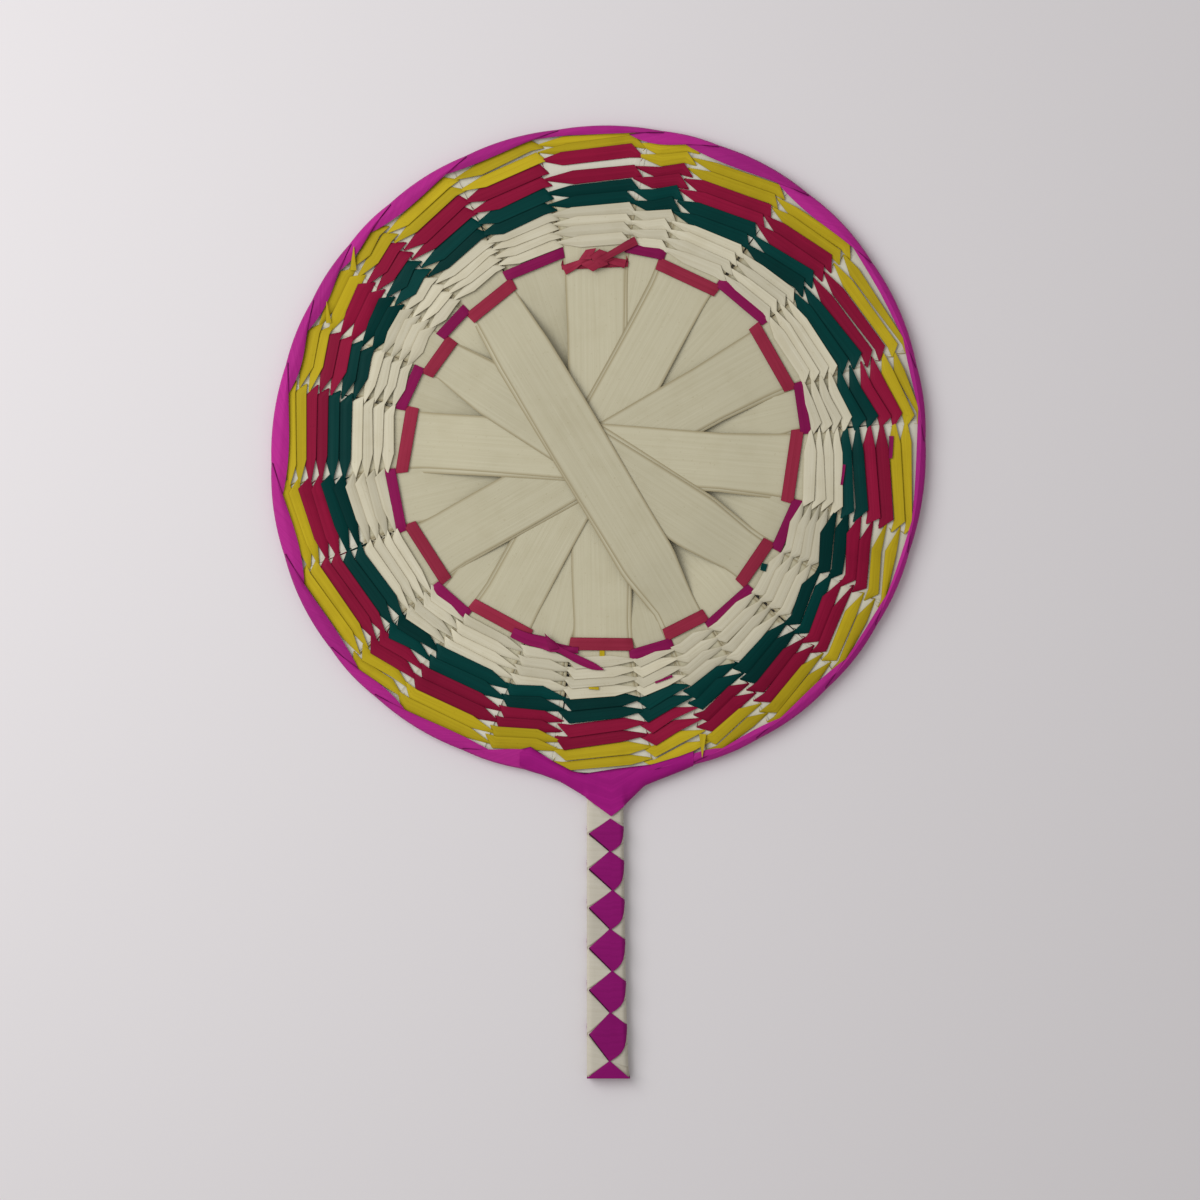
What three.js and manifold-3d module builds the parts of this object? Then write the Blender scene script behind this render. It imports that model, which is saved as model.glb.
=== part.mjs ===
// A round hand fan of palm leaf. Twelve leaf strips cross at the middle and spread into 24 spokes.
// Pairs of dyed strands are twined round the spokes, a strip of leaf is wound round the rim over a
// cane hoop, and the hoop's two tails run down into a handle wrapped in two colours.
// Millimetres, +Z up. The fan lies on its back, with the handle towards -Y.
import * as THREE from "three";
import { mergeVertices } from "three/addons/utils/BufferGeometryUtils.js";
import Module from "manifold-3d";

const wasm = await Module();
wasm.setup();

// Overall sizes
const DISC_RADIUS = 140;
const FAN_LENGTH = 408;
const FAN_THICKNESS = 6.8;
const HANDLE_WIDTH = 18.4;
const HANDLE_OFFSET = 3.8;

// Columns of the weave, clockwise from the one at the top, as wide in degrees as the hand made them.
const COLUMN_WIDTHS = [
  19, 10, 18, 16, 20, 13, 20, 14, 14, 15, 12, 11,
  17, 13, 18, 11, 18, 16, 18, 12, 12, 10, 16, 17,
];
const FIRST_BORDER = -11;
const NECK_COLUMN = 12;

// Leaf strips that make the spokes
const LEAF_WIDTH = 24;
const LEAF_THICKNESS = 0.45;
const LEAF_CLEARANCE = 0.05;
const SPREAD_MARGIN = 5.8;
const LEVEL_RUN = 22;
const SPOKE_GAP_AT_SPREAD = 2.8;
const SPOKE_GAP_AT_RIM = 6;

// Strands
const STRAND_THICKNESS = 0.4;
const STRAND_HEIGHT = 1.5;
const STRAND_CLEARANCE = 0.15;
const STRAND_GAP = 0.35;
const PINCH_WIDTH = 1.15;
const RED_LASHING_WIDTH = 4.2;
const LASHING_GAP = 0.4;
const MAGENTA_LASHING_WIDTH = 3.4;
const LASHING_TO_WEAVE = 0.5;
const WEAVE_TO_RIM = 0.475;
const CREAM_PITCH = 4.2;
const GREEN_PITCH = 5;
const RED_PITCH = 4.8;
const YELLOW_PITCH = 4.4;
const LEAST_LEAN = 0.2;
const MOST_LEAN = 0.85;

// Rim
const HOOP_WIDTH = 2;
const BINDING_THICKNESS = 0.5;
const BINDING_CLEARANCE = 0.4;
const BINDING_PASS_WIDTH = 4;
const BINDING_FRONT_WIDTH = 4.6;
const BINDING_SEAM = 0.6;
const BINDING_LEAN_DEGREES = 2.5;
const BINDING_INNER_SHARE = 0.75;

// Handle
const NECK_SPREAD = 16;
const NECK_LENGTH = 11;
const NECK_BEND_DROP = 3.2;
const NECK_STEPS = 5;
const HOOP_LEAST_STEP_DEGREES = 2;
const WRAP_THICKNESS = 0.4;
const WRAP_CLEARANCE = 0.25;
const CREAM_WRAP_PITCH = 17;
const DIAMOND_COUNT = 6;
const WRAP_SEAM = 0.5;
const WRAP_FOLD_WIDTH = 2;
const COLLAR_WALL_LENGTH = 8;
const COLLAR_POINT = 8;
const COLLAR_FLARE = 5.4;
const COLLAR_REACH = 6;
const CAP_FLAP_LENGTH = 7.5;

// Knots
const KNOT_SIDES = 5;
const KNOT_RADIUS = 5.6;
const KNOT_HEIGHT = 1.6;
const KNOT_BEVEL = 0.5;
const KNOT_CLEARANCE = 0.3;
const TAIL_WIDTH = 2.6;
const TAIL_THICKNESS = 0.5;
const RED_KNOT_SHIFT_DEGREES = 0.8;
const RED_LONG_TAIL = 17;
const RED_SHORT_TAIL = 9;
const MAGENTA_LONG_TAIL = 22;
const MAGENTA_SHORT_TAIL = 10;

// Dyes of the leaf, with the pitch of each colour's pairs of strands
const CREAM = 0xbdb598;
const MAGENTA = 0x9c1f7c;
const RED = 0x97213f;
const GREEN = 0x0c4f45;
const YELLOW = 0xbcae2f;
const CANE = 0xa88d5a;
const BANDS = [
  { name: "cream", colour: CREAM, pairs: 4, pitch: CREAM_PITCH },
  { name: "green", colour: GREEN, pairs: 2, pitch: GREEN_PITCH },
  { name: "red", colour: RED, pairs: 2, pitch: RED_PITCH },
  { name: "yellow", colour: YELLOW, pairs: 2, pitch: YELLOW_PITCH },
];

const fan = new THREE.Group();
fan.name = "palm_leaf_fan";

function addPiece(name, geometry, colour, roughness = 0.62) {
  geometry.computeVertexNormals();
  const material = new THREE.MeshStandardMaterial({ color: colour, roughness, metalness: 0 });
  const mesh = new THREE.Mesh(geometry, material);
  mesh.name = name;
  fan.add(mesh);
}

// Bearings are in degrees clockwise from the top of the disc.
const radians = THREE.MathUtils.degToRad;
const degrees = THREE.MathUtils.radToDeg;
function outward(bearing) {
  return new THREE.Vector3(Math.sin(radians(bearing)), Math.cos(radians(bearing)), 0);
}
function onDisc(bearing, radius, z) {
  return outward(bearing).multiplyScalar(radius).setZ(z);
}
function arcDegrees(length, radius) {
  return degrees(length / radius);
}

const columnCount = COLUMN_WIDTHS.length;
const widthTotal = COLUMN_WIDTHS.reduce((sum, width) => sum + width, 0);
const borders = [FIRST_BORDER];
for (const width of COLUMN_WIDTHS) {
  borders.push(borders.at(-1) + (360 * width) / widthTotal);
}
const columns = COLUMN_WIDTHS.map((_, k) => ({
  start: borders[k],
  end: borders[k + 1],
  middle: (borders[k] + borders[k + 1]) / 2,
  span: borders[k + 1] - borders[k],
}));

// A four-cornered section of leaf: half its width lies along "across", half its thickness along "up".
function section(centre, across, up) {
  return [
    centre.clone().sub(across).sub(up),
    centre.clone().add(across).sub(up),
    centre.clone().add(across).add(up),
    centre.clone().sub(across).add(up),
  ];
}

// A closed solid through a row of sections with equal numbers of corners. A loop ends where it begins.
function strip(sections, isLoop) {
  const corners = sections[0].length;
  const rows = sections.length;
  const index = [];
  const joins = isLoop ? rows : rows - 1;
  for (let row = 0; row < joins; row++) {
    const here = row * corners;
    const next = ((row + 1) % rows) * corners;
    for (let corner = 0; corner < corners; corner++) {
      const beside = (corner + 1) % corners;
      index.push(here + corner, here + beside, next + beside);
      index.push(here + corner, next + beside, next + corner);
    }
  }
  if (!isLoop) {
    const end = (rows - 1) * corners;
    for (let corner = 1; corner < corners - 1; corner++) {
      index.push(0, corner + 1, corner);
      index.push(end, end + corner, end + corner + 1);
    }
  }
  const geometry = new THREE.BufferGeometry().setFromPoints(sections.flat());
  geometry.setIndex(index);
  return geometry;
}

function solidFrom(geometry) {
  const bare = geometry.clone();
  bare.deleteAttribute("normal");
  bare.deleteAttribute("uv");
  const merged = mergeVertices(bare, 1e-4);
  return new wasm.Manifold(
    new wasm.Mesh({
      numProp: 3,
      vertProperties: merged.attributes.position.array,
      triVerts: new Uint32Array(merged.index.array),
    }),
  );
}

function geometryFrom(solid) {
  const mesh = solid.getMesh();
  const geometry = new THREE.BufferGeometry();
  geometry.setAttribute("position", new THREE.BufferAttribute(mesh.vertProperties, 3));
  geometry.setIndex(new THREE.BufferAttribute(mesh.triVerts, 1));
  return geometry;
}

function extruded(outline, zLow, zHigh) {
  const geometry = new THREE.ExtrudeGeometry(new THREE.Shape(outline), {
    depth: zHigh - zLow,
    bevelEnabled: false,
  });
  return geometry.translate(0, 0, zLow);
}

// Rim radii, worked inwards from the disc's edge
const halfThickness = FAN_THICKNESS / 2;
const bindingOuterRadius = DISC_RADIUS - BINDING_THICKNESS / 2;
const halfWidestSpan = Math.max(...columns.map((column) => column.span)) / 2;
const bindingFlatness = DISC_RADIUS * (1 - Math.cos(radians(halfWidestSpan / 2)));
const hoopOuterRadius = bindingOuterRadius - BINDING_THICKNESS / 2 - bindingFlatness - BINDING_CLEARANCE;
const hoopInnerRadius = hoopOuterRadius - HOOP_WIDTH;
const hoopRadius = hoopOuterRadius - HOOP_WIDTH / 2;
const bindingPassRadius = hoopInnerRadius - BINDING_CLEARANCE - BINDING_THICKNESS / 2;
const bindingFrontZ = halfThickness - BINDING_THICKNESS / 2;
const spokeTipRadius = bindingPassRadius - BINDING_THICKNESS / 2;

// The weave ends just short of the rim. Its bands, the lashings and the spread of the strips follow inwards.
const outerReach = (MOST_LEAN * BANDS.at(-1).pitch - STRAND_GAP) / 2;
const weaveOuterRadius = spokeTipRadius - WEAVE_TO_RIM - outerReach;
const weaveDepth = BANDS.reduce((sum, band) => sum + band.pairs * band.pitch, 0);
const weaveInnerRadius = weaveOuterRadius - weaveDepth;
const magentaLashingRadius = weaveInnerRadius - LASHING_TO_WEAVE - MAGENTA_LASHING_WIDTH / 2;
const lashingPitch = (RED_LASHING_WIDTH + MAGENTA_LASHING_WIDTH) / 2 + LASHING_GAP;
const redLashingRadius = magentaLashingRadius - lashingPitch;
const spreadRadius = redLashingRadius - RED_LASHING_WIDTH / 2 - SPREAD_MARGIN;
const crossingRadius = spreadRadius - LEVEL_RUN;

// Spokes: strips laid right across the disc. The front six are stacked above the mid-plane where they
// cross, the back six below it, and all come level with the weave once they are clear of each other.
const levelPitch = LEAF_THICKNESS + LEAF_CLEARANCE;
const stripCount = columnCount / 2;
function spokeGap(radius) {
  const share = (radius - spreadRadius) / (spokeTipRadius - spreadRadius);
  return THREE.MathUtils.lerp(SPOKE_GAP_AT_SPREAD, SPOKE_GAP_AT_RIM, share);
}
function spokeHalfWidth(column, radius) {
  return (radians(column.span) * radius - spokeGap(radius)) / 2;
}

// Where strips of one layer come clear of each other, each is as broad as its leaf or its share of the
// circle.
function crossingHalfWidth(k) {
  const before = columns[(k + columnCount - 1) % columnCount];
  const after = columns[(k + 1) % columnCount];
  const share = radians(columns[k].span + (before.span + after.span) / 2) * crossingRadius;
  return Math.min(LEAF_WIDTH, share - SPOKE_GAP_AT_SPREAD) / 2;
}

const leafUp = new THREE.Vector3(0, 0, LEAF_THICKNESS / 2);
function sideways(direction) {
  return new THREE.Vector3(-direction.y, direction.x, 0).normalize();
}

for (let k = 0; k < stripCount; k++) {
  const near = columns[k];
  const far = columns[k + stripCount];
  const isFront = k % 2 === 0;
  const side = isFront ? 1 : -1;
  const level = Math.floor(k / 2);
  const weaveZ = (side * levelPitch) / 2;
  const stackZ = side * (level + 0.5) * levelPitch;
  const nearSpread = onDisc(near.middle, spreadRadius, weaveZ);
  const farSpread = onDisc(far.middle, spreadRadius, weaveZ);
  const across = farSpread.clone().sub(nearSpread).normalize();
  const nearCrossing = nearSpread.clone().addScaledVector(across, LEVEL_RUN).setZ(stackZ);
  const farCrossing = farSpread.clone().addScaledVector(across, -LEVEL_RUN).setZ(stackZ);
  const nearTip = onDisc(near.middle, spokeTipRadius * Math.cos(radians(near.span / 2)), weaveZ);
  const farTip = onDisc(far.middle, spokeTipRadius * Math.cos(radians(far.span / 2)), weaveZ);
  const inwards = outward(near.middle).negate();
  const outwards = outward(far.middle);
  const stations = [
    [nearTip, inwards, spokeHalfWidth(near, nearTip.length())],
    [nearSpread, inwards.clone().add(across), spokeHalfWidth(near, spreadRadius)],
    [nearCrossing, across, crossingHalfWidth(k)],
    [farCrossing, across, crossingHalfWidth(k + stripCount)],
    [farSpread, outwards.clone().add(across), spokeHalfWidth(far, spreadRadius)],
    [farTip, outwards, spokeHalfWidth(far, farTip.length())],
  ];
  const sections = stations.map(([centre, direction, halfWidth]) =>
    section(centre, sideways(direction).multiplyScalar(halfWidth), leafUp),
  );
  addPiece((isFront ? "front_spoke_" : "back_spoke_") + (level + 1), strip(sections, false), CREAM);
}

// Strands. Each passes in front of one spoke and behind the next, and dives through the gaps between.
// It is full width and full height from a short way inside each spoke's edge.
const strandUp = new THREE.Vector3(0, 0, STRAND_THICKNESS / 2);
const heightAtSpokeEdge = LEAF_THICKNESS + LEAF_CLEARANCE / 2 + STRAND_CLEARANCE + STRAND_THICKNESS / 2;
const riseShare = STRAND_HEIGHT / heightAtSpokeEdge;
function shoulderDegrees(radius) {
  return arcDegrees((spokeGap(radius) / 2) * riseShare, radius);
}
function strandSection(bearing, radius, z, width) {
  return section(onDisc(bearing, radius, z), outward(bearing).multiplyScalar(width / 2), strandUp);
}

// The two lashings keep to their own radii, red on the front spokes and magenta on the back ones.
function lashing(radius, width, firstSide) {
  const sections = [];
  columns.forEach((column, k) => {
    const side = k % 2 === 0 ? firstSide : -firstSide;
    const shoulder = shoulderDegrees(radius);
    sections.push(strandSection(column.start + shoulder, radius, side * STRAND_HEIGHT, width));
    sections.push(strandSection(column.end - shoulder, radius, side * STRAND_HEIGHT, width));
  });
  return strip(sections, true);
}
addPiece("red_lashing", lashing(redLashingRadius, RED_LASHING_WIDTH, 1), RED);
addPiece("magenta_lashing", lashing(magentaLashingRadius, MAGENTA_LASHING_WIDTH, -1), MAGENTA);

// A twined strand goes down at the outer side of its pair and comes up at the inner side, so its
// bars lean outwards clockwise on both faces of the fan. Bars lean more towards the rim.
function twinedStrand(radius, pitch, lean, firstSide) {
  const width = pitch - STRAND_GAP;
  const shoulder = shoulderDegrees(radius);
  const sections = [];
  columns.forEach((column, k) => {
    const side = k % 2 === 0 ? firstSide : -firstSide;
    const halfLean = (side * lean * pitch) / 2;
    const z = side * STRAND_HEIGHT;
    sections.push(strandSection(column.start, radius - (side * pitch) / 4, 0, PINCH_WIDTH));
    sections.push(strandSection(column.start + shoulder, radius - halfLean, z, width));
    sections.push(strandSection(column.end - shoulder, radius + halfLean, z, width));
  });
  return strip(sections, true);
}

const pairTotal = BANDS.reduce((sum, band) => sum + band.pairs, 0);
let bandEdge = weaveInnerRadius;
let pairIndex = 0;
for (const band of BANDS) {
  for (let pair = 0; pair < band.pairs; pair++) {
    const radius = bandEdge + band.pitch / 2;
    const lean = THREE.MathUtils.lerp(LEAST_LEAN, MOST_LEAN, pairIndex / (pairTotal - 1));
    [1, -1].forEach((firstSide, strand) => {
      const name = `${band.name}_strand_${2 * pair + strand + 1}`;
      addPiece(name, twinedStrand(radius, band.pitch, lean, firstSide), band.colour);
    });
    bandEdge += band.pitch;
    pairIndex += 1;
  }
}

// Knots: a flat strip tied in an overhand knot draws up into a five-sided pad with two loose tails.
function knot(bearing, radius, tails) {
  const base = STRAND_HEIGHT + STRAND_THICKNESS / 2 + KNOT_CLEARANCE;
  const corners = [];
  for (let corner = 0; corner < KNOT_SIDES; corner++) {
    const turn = (corner * 2 * Math.PI) / KNOT_SIDES;
    corners.push(new THREE.Vector2(Math.cos(turn), Math.sin(turn)).multiplyScalar(KNOT_RADIUS - KNOT_BEVEL));
  }
  const pad = new THREE.ExtrudeGeometry(new THREE.Shape(corners), {
    depth: KNOT_HEIGHT - 2 * KNOT_BEVEL,
    bevelSize: KNOT_BEVEL,
    bevelThickness: KNOT_BEVEL,
    bevelSegments: 1,
  });
  const centre = onDisc(bearing, radius, base + KNOT_BEVEL);
  pad.translate(centre.x, centre.y, centre.z);
  const tailUp = new THREE.Vector3(0, 0, TAIL_THICKNESS / 2);
  const tailZ = base + KNOT_HEIGHT / 2;
  let solid = solidFrom(pad);
  for (const tail of tails) {
    const along = outward(bearing + tail.turn);
    const half = sideways(along).multiplyScalar(TAIL_WIDTH / 2);
    const root = onDisc(bearing, radius, tailZ);
    const tip = root.clone().addScaledVector(along, tail.length);
    const sections = [section(root, half, tailUp), section(tip, half, tailUp)];
    solid = solid.add(solidFrom(strip(sections, false)));
  }
  return geometryFrom(solid);
}
const redKnotTails = [
  { turn: 58, length: RED_LONG_TAIL },
  { turn: 265, length: RED_SHORT_TAIL },
];
addPiece("red_knot", knot(columns[0].middle + RED_KNOT_SHIFT_DEGREES, redLashingRadius, redKnotTails), RED);
const magentaKnotTails = [
  { turn: 75, length: MAGENTA_SHORT_TAIL },
  { turn: 285, length: MAGENTA_LONG_TAIL },
];
const magentaKnotColumn = columns[NECK_COLUMN + 1];
addPiece("magenta_knot", knot(magentaKnotColumn.middle, magentaLashingRadius, magentaKnotTails), MAGENTA);

// Rim hoop: one cane bent round the disc, with both ends turned down into the handle.
const handleEnd = DISC_RADIUS - FAN_LENGTH;
const outerLayerZ = halfThickness - WRAP_THICKNESS / 2;
const outerLayerX = HANDLE_WIDTH / 2 - WRAP_THICKNESS / 2;
const innerLayerZ = outerLayerZ - WRAP_THICKNESS - WRAP_CLEARANCE;
const innerLayerX = outerLayerX - WRAP_THICKNESS - WRAP_CLEARANCE;
const coreHalfDepth = innerLayerZ - WRAP_THICKNESS / 2 - WRAP_CLEARANCE;
const tailX = innerLayerX - WRAP_THICKNESS / 2 - WRAP_CLEARANCE - HOOP_WIDTH / 2;
const capThickness = WRAP_THICKNESS;
const coreEnd = handleEnd + capThickness + WRAP_CLEARANCE;

function neckPath(side) {
  const start = new THREE.Vector2(HANDLE_OFFSET + side * NECK_SPREAD, 0);
  start.y = -Math.sqrt(hoopRadius ** 2 - start.x ** 2);
  const tailStart = new THREE.Vector2(HANDLE_OFFSET + side * tailX, start.y - NECK_LENGTH);
  const bend = new THREE.Vector2(tailStart.x, start.y - NECK_BEND_DROP);
  const points = new THREE.QuadraticBezierCurve(start, bend, tailStart).getPoints(NECK_STEPS);
  points.push(new THREE.Vector2(tailStart.x, coreEnd));
  return points;
}
const leftNeck = neckPath(-1);
const rightNeck = neckPath(1);
const neckBottom = leftNeck.at(-2).y;
const hoopBearings = [];
columns.forEach((column) => hoopBearings.push(column.start, column.middle));
const bearingOf = (point) => (degrees(Math.atan2(point.x, point.y)) + 360) % 360;
const firstBearing = bearingOf(leftNeck[0]);
const sweepEnd = bearingOf(rightNeck[0]) + 360;
const ringPoints = hoopBearings
  .map((bearing) => ((bearing - firstBearing + 720) % 360) + firstBearing)
  .sort((a, b) => a - b)
  .filter((bearing) => bearing > firstBearing + HOOP_LEAST_STEP_DEGREES)
  .filter((bearing) => bearing < sweepEnd - HOOP_LEAST_STEP_DEGREES)
  .map((bearing) => onDisc(bearing, hoopRadius, 0))
  .map((point) => new THREE.Vector2(point.x, point.y));
const hoopPoints = [...leftNeck.toReversed(), ...ringPoints, ...rightNeck];
const hoopUp = new THREE.Vector3(0, 0, coreHalfDepth);
const hoopSections = hoopPoints.map((point, i) => {
  const before = hoopPoints[Math.max(i - 1, 0)];
  const after = hoopPoints[Math.min(i + 1, hoopPoints.length - 1)];
  const half = sideways(after.clone().sub(before)).multiplyScalar(HOOP_WIDTH / 2);
  return section(new THREE.Vector3(point.x, point.y, 0), half, hoopUp);
});
addPiece("rim_hoop", strip(hoopSections, false), CANE, 0.5);

// Least distance between two parts of one winding, on points of neighbouring turns.
function leastGap(sections, perTurn) {
  let least = Infinity;
  sections.forEach((here, i) => {
    sections.slice(i + perTurn - 1).forEach((there) => {
      for (const a of here) {
        for (const b of there) {
          least = Math.min(least, a.distanceTo(b));
        }
      }
    });
  });
  return least;
}

// Rim binding: a leaf strip wound round the hoop, once for each column, from one side of the neck to
// the other. It is folded narrow where it passes between two spokes and broad over the front and back.
function bindingSection(fromBearing, toBearing, radius, z, radialUp, zUp) {
  const up = (bearing) => {
    const direction = outward(bearing).multiplyScalar(radialUp).setZ(zUp);
    return direction.setLength(BINDING_THICKNESS / 2);
  };
  const bearings = [toBearing, (fromBearing + toBearing) / 2, fromBearing];
  const under = bearings.map((bearing) => onDisc(bearing, radius, z).sub(up(bearing)));
  const over = bearings.map((bearing) => onDisc(bearing, radius, z).add(up(bearing)));
  return [...under, ...over.reverse()];
}
const bindingInnerRadius = DISC_RADIUS - BINDING_FRONT_WIDTH;
const bindingShoulderRadius = bindingOuterRadius - BINDING_THICKNESS;
const passDegrees = arcDegrees(BINDING_PASS_WIDTH / 2, bindingPassRadius);
const seamDegrees = arcDegrees(BINDING_SEAM / 2, bindingShoulderRadius);
const bindingSections = [];
for (let turn = 1; turn < columnCount; turn++) {
  const column = columns[(NECK_COLUMN + turn) % columnCount];
  const { start, end, span } = column;
  const innerSpan = span * BINDING_INNER_SHARE;
  const broadStart = start + BINDING_LEAN_DEGREES + seamDegrees;
  const endLean = turn < columnCount - 1 ? BINDING_LEAN_DEGREES : 0;
  const broadEnd = end + endLean - seamDegrees;
  const frontStart = start + seamDegrees;
  const backEnd = end - seamDegrees;
  bindingSections.push(
    bindingSection(start - passDegrees, start + passDegrees, bindingPassRadius, 0, -1, 0),
    bindingSection(frontStart, frontStart + innerSpan, bindingInnerRadius, bindingFrontZ, 0, 1),
    bindingSection(broadStart, broadEnd, bindingShoulderRadius, bindingFrontZ, 0, 1),
    bindingSection(broadStart, broadEnd, bindingOuterRadius, 0, 1, 0),
    bindingSection(broadStart, broadEnd, bindingShoulderRadius, -bindingFrontZ, 0, -1),
    bindingSection(backEnd - innerSpan, backEnd, bindingInnerRadius, -bindingFrontZ, 0, -1),
  );
}
addPiece("rim_binding", strip(bindingSections, false), MAGENTA);

// Handle core: a flat stick between the hoop's tails.
const coreHalfWidth = tailX - HOOP_WIDTH / 2 - WRAP_CLEARANCE;
const coreOutline = [
  new THREE.Vector2(HANDLE_OFFSET - coreHalfWidth, coreEnd),
  new THREE.Vector2(HANDLE_OFFSET + coreHalfWidth, coreEnd),
  new THREE.Vector2(HANDLE_OFFSET + coreHalfWidth, neckBottom),
  new THREE.Vector2(HANDLE_OFFSET, neckBottom + coreHalfWidth),
  new THREE.Vector2(HANDLE_OFFSET - coreHalfWidth, neckBottom),
];
addPiece("handle_core", extruded(coreOutline, -coreHalfDepth, coreHalfDepth), CANE, 0.5);

// Handle wraps: the cream strip covers the core, and the magenta one is wound over it the other way,
// broad on the front and back, where it shows as diamonds, and folded narrow round the edges.
const collarWallTop = neckBottom + COLLAR_WALL_LENGTH;
const creamTop = neckBottom - WRAP_CLEARANCE;
const magentaTop = neckBottom - COLLAR_POINT - WRAP_CLEARANCE;
const wrapEnd = coreEnd;
function wrapSection(x, z, y, halfWidth, upX, upZ, turn) {
  const centre = new THREE.Vector3(HANDLE_OFFSET + x, y, z);
  const up = new THREE.Vector3(upX, 0, upZ).setLength(WRAP_THICKNESS / 2);
  return section(centre, new THREE.Vector3(0, turn * halfWidth, 0), up);
}

const creamSections = [];
const creamHalf = (CREAM_WRAP_PITCH - WRAP_SEAM) / 2;
const creamTravel = creamTop - wrapEnd - 2 * creamHalf;
const creamSteps = Math.floor((4 * creamTravel) / CREAM_WRAP_PITCH);
const creamCorners = [[-1, 1], [1, 1], [1, -1], [-1, -1]];
for (let step = 0; step <= creamSteps; step++) {
  const [x, z] = creamCorners[step % 4];
  const y = wrapEnd + creamHalf + (creamTravel * step) / creamSteps;
  creamSections.push(wrapSection(x * innerLayerX, z * innerLayerZ, y, creamHalf, x, z, 1));
}
addPiece("handle_wrap_cream", strip(creamSections, false), CREAM);

const magentaSections = [];
const magentaStart = wrapEnd + CAP_FLAP_LENGTH;
const diamondPitch = (magentaTop - magentaStart) / DIAMOND_COUNT;
const diamondHalf = (diamondPitch - WRAP_SEAM) / 2;
for (let n = 0; n < DIAMOND_COUNT; n++) {
  const frontY = magentaStart + (n + 0.5) * diamondPitch;
  const backY = frontY + diamondPitch / 2;
  const fold = WRAP_FOLD_WIDTH / 2;
  magentaSections.push(
    wrapSection(outerLayerX, outerLayerZ, frontY, fold, 1, 1, -1),
    wrapSection(0, outerLayerZ, frontY, diamondHalf, 0, 1, -1),
    wrapSection(-outerLayerX, outerLayerZ, frontY, fold, -1, 1, -1),
  );
  if (n < DIAMOND_COUNT - 1) {
    magentaSections.push(
      wrapSection(-outerLayerX, -outerLayerZ, backY, fold, -1, -1, -1),
      wrapSection(0, -outerLayerZ, backY, diamondHalf, 0, -1, -1),
      wrapSection(outerLayerX, -outerLayerZ, backY, fold, 1, -1, -1),
    );
  }
}
addPiece("handle_wrap_magenta", strip(magentaSections, false), MAGENTA);
console.log("least gap of rim_binding to itself", leastGap(bindingSections, 6).toFixed(2));
console.log("least gap of handle_wrap_cream to itself", leastGap(creamSections, 4).toFixed(2));
console.log("least gap of handle_wrap_magenta to itself", leastGap(magentaSections, 6).toFixed(2));

// Neck collar: a sleeve of magenta leaf round the neck, ending in a point on the front and back.
function mirrored(points) {
  const right = points.map(([x, y]) => new THREE.Vector2(HANDLE_OFFSET + x, y));
  const left = points.map(([x, y]) => new THREE.Vector2(HANDLE_OFFSET - x, y)).reverse();
  return [...right, ...left];
}
const collarHalf = HANDLE_WIDTH / 2;
const collarTopHalf = collarHalf + COLLAR_FLARE;
const collarTop = collarWallTop + COLLAR_REACH;
const collarOutline = [
  ...mirrored([
    [collarHalf, neckBottom],
    [collarTopHalf, collarWallTop],
    [collarTopHalf, collarTop],
  ]),
  new THREE.Vector2(HANDLE_OFFSET, neckBottom - COLLAR_POINT),
];
const insideOutline = mirrored([
  [collarHalf - WRAP_THICKNESS, neckBottom - COLLAR_POINT],
  [collarHalf - WRAP_THICKNESS, neckBottom],
  [collarTopHalf - WRAP_THICKNESS, collarWallTop],
  [collarTopHalf + COLLAR_FLARE, collarWallTop],
  [collarTopHalf + COLLAR_FLARE, collarTop + COLLAR_FLARE],
]);
const collarSolid = solidFrom(extruded(collarOutline, -halfThickness, halfThickness));
const insideHalf = halfThickness - WRAP_THICKNESS;
const insideSolid = solidFrom(extruded(insideOutline, -insideHalf, insideHalf));
addPiece("neck_collar", geometryFrom(collarSolid.subtract(insideSolid)), MAGENTA);

// End cap: a magenta strip folded over the end of the handle, with a pointed flap on each face.
const capHalf = HANDLE_WIDTH / 2;
const capPlate = new THREE.BoxGeometry(HANDLE_WIDTH, capThickness, FAN_THICKNESS);
capPlate.translate(HANDLE_OFFSET, handleEnd + capThickness / 2, 0);
let capSolid = solidFrom(capPlate);
const flapOutline = [
  new THREE.Vector2(HANDLE_OFFSET - capHalf, handleEnd),
  new THREE.Vector2(HANDLE_OFFSET + capHalf, handleEnd),
  new THREE.Vector2(HANDLE_OFFSET, handleEnd + CAP_FLAP_LENGTH),
];
const flapLow = outerLayerZ - WRAP_THICKNESS / 2;
for (const [zLow, zHigh] of [[flapLow, halfThickness], [-halfThickness, -flapLow]]) {
  capSolid = capSolid.add(solidFrom(extruded(flapOutline, zLow, zHigh)));
}
addPiece("handle_end_cap", geometryFrom(capSolid), MAGENTA);

// The origin is under the middle of the fan, on the surface that it lies on.
const box = new THREE.Box3().setFromObject(fan);
const middle = box.getCenter(new THREE.Vector3());
fan.position.set(-middle.x, -middle.y, -box.min.z);

export default fan;
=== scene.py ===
# %% [markdown]
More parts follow.
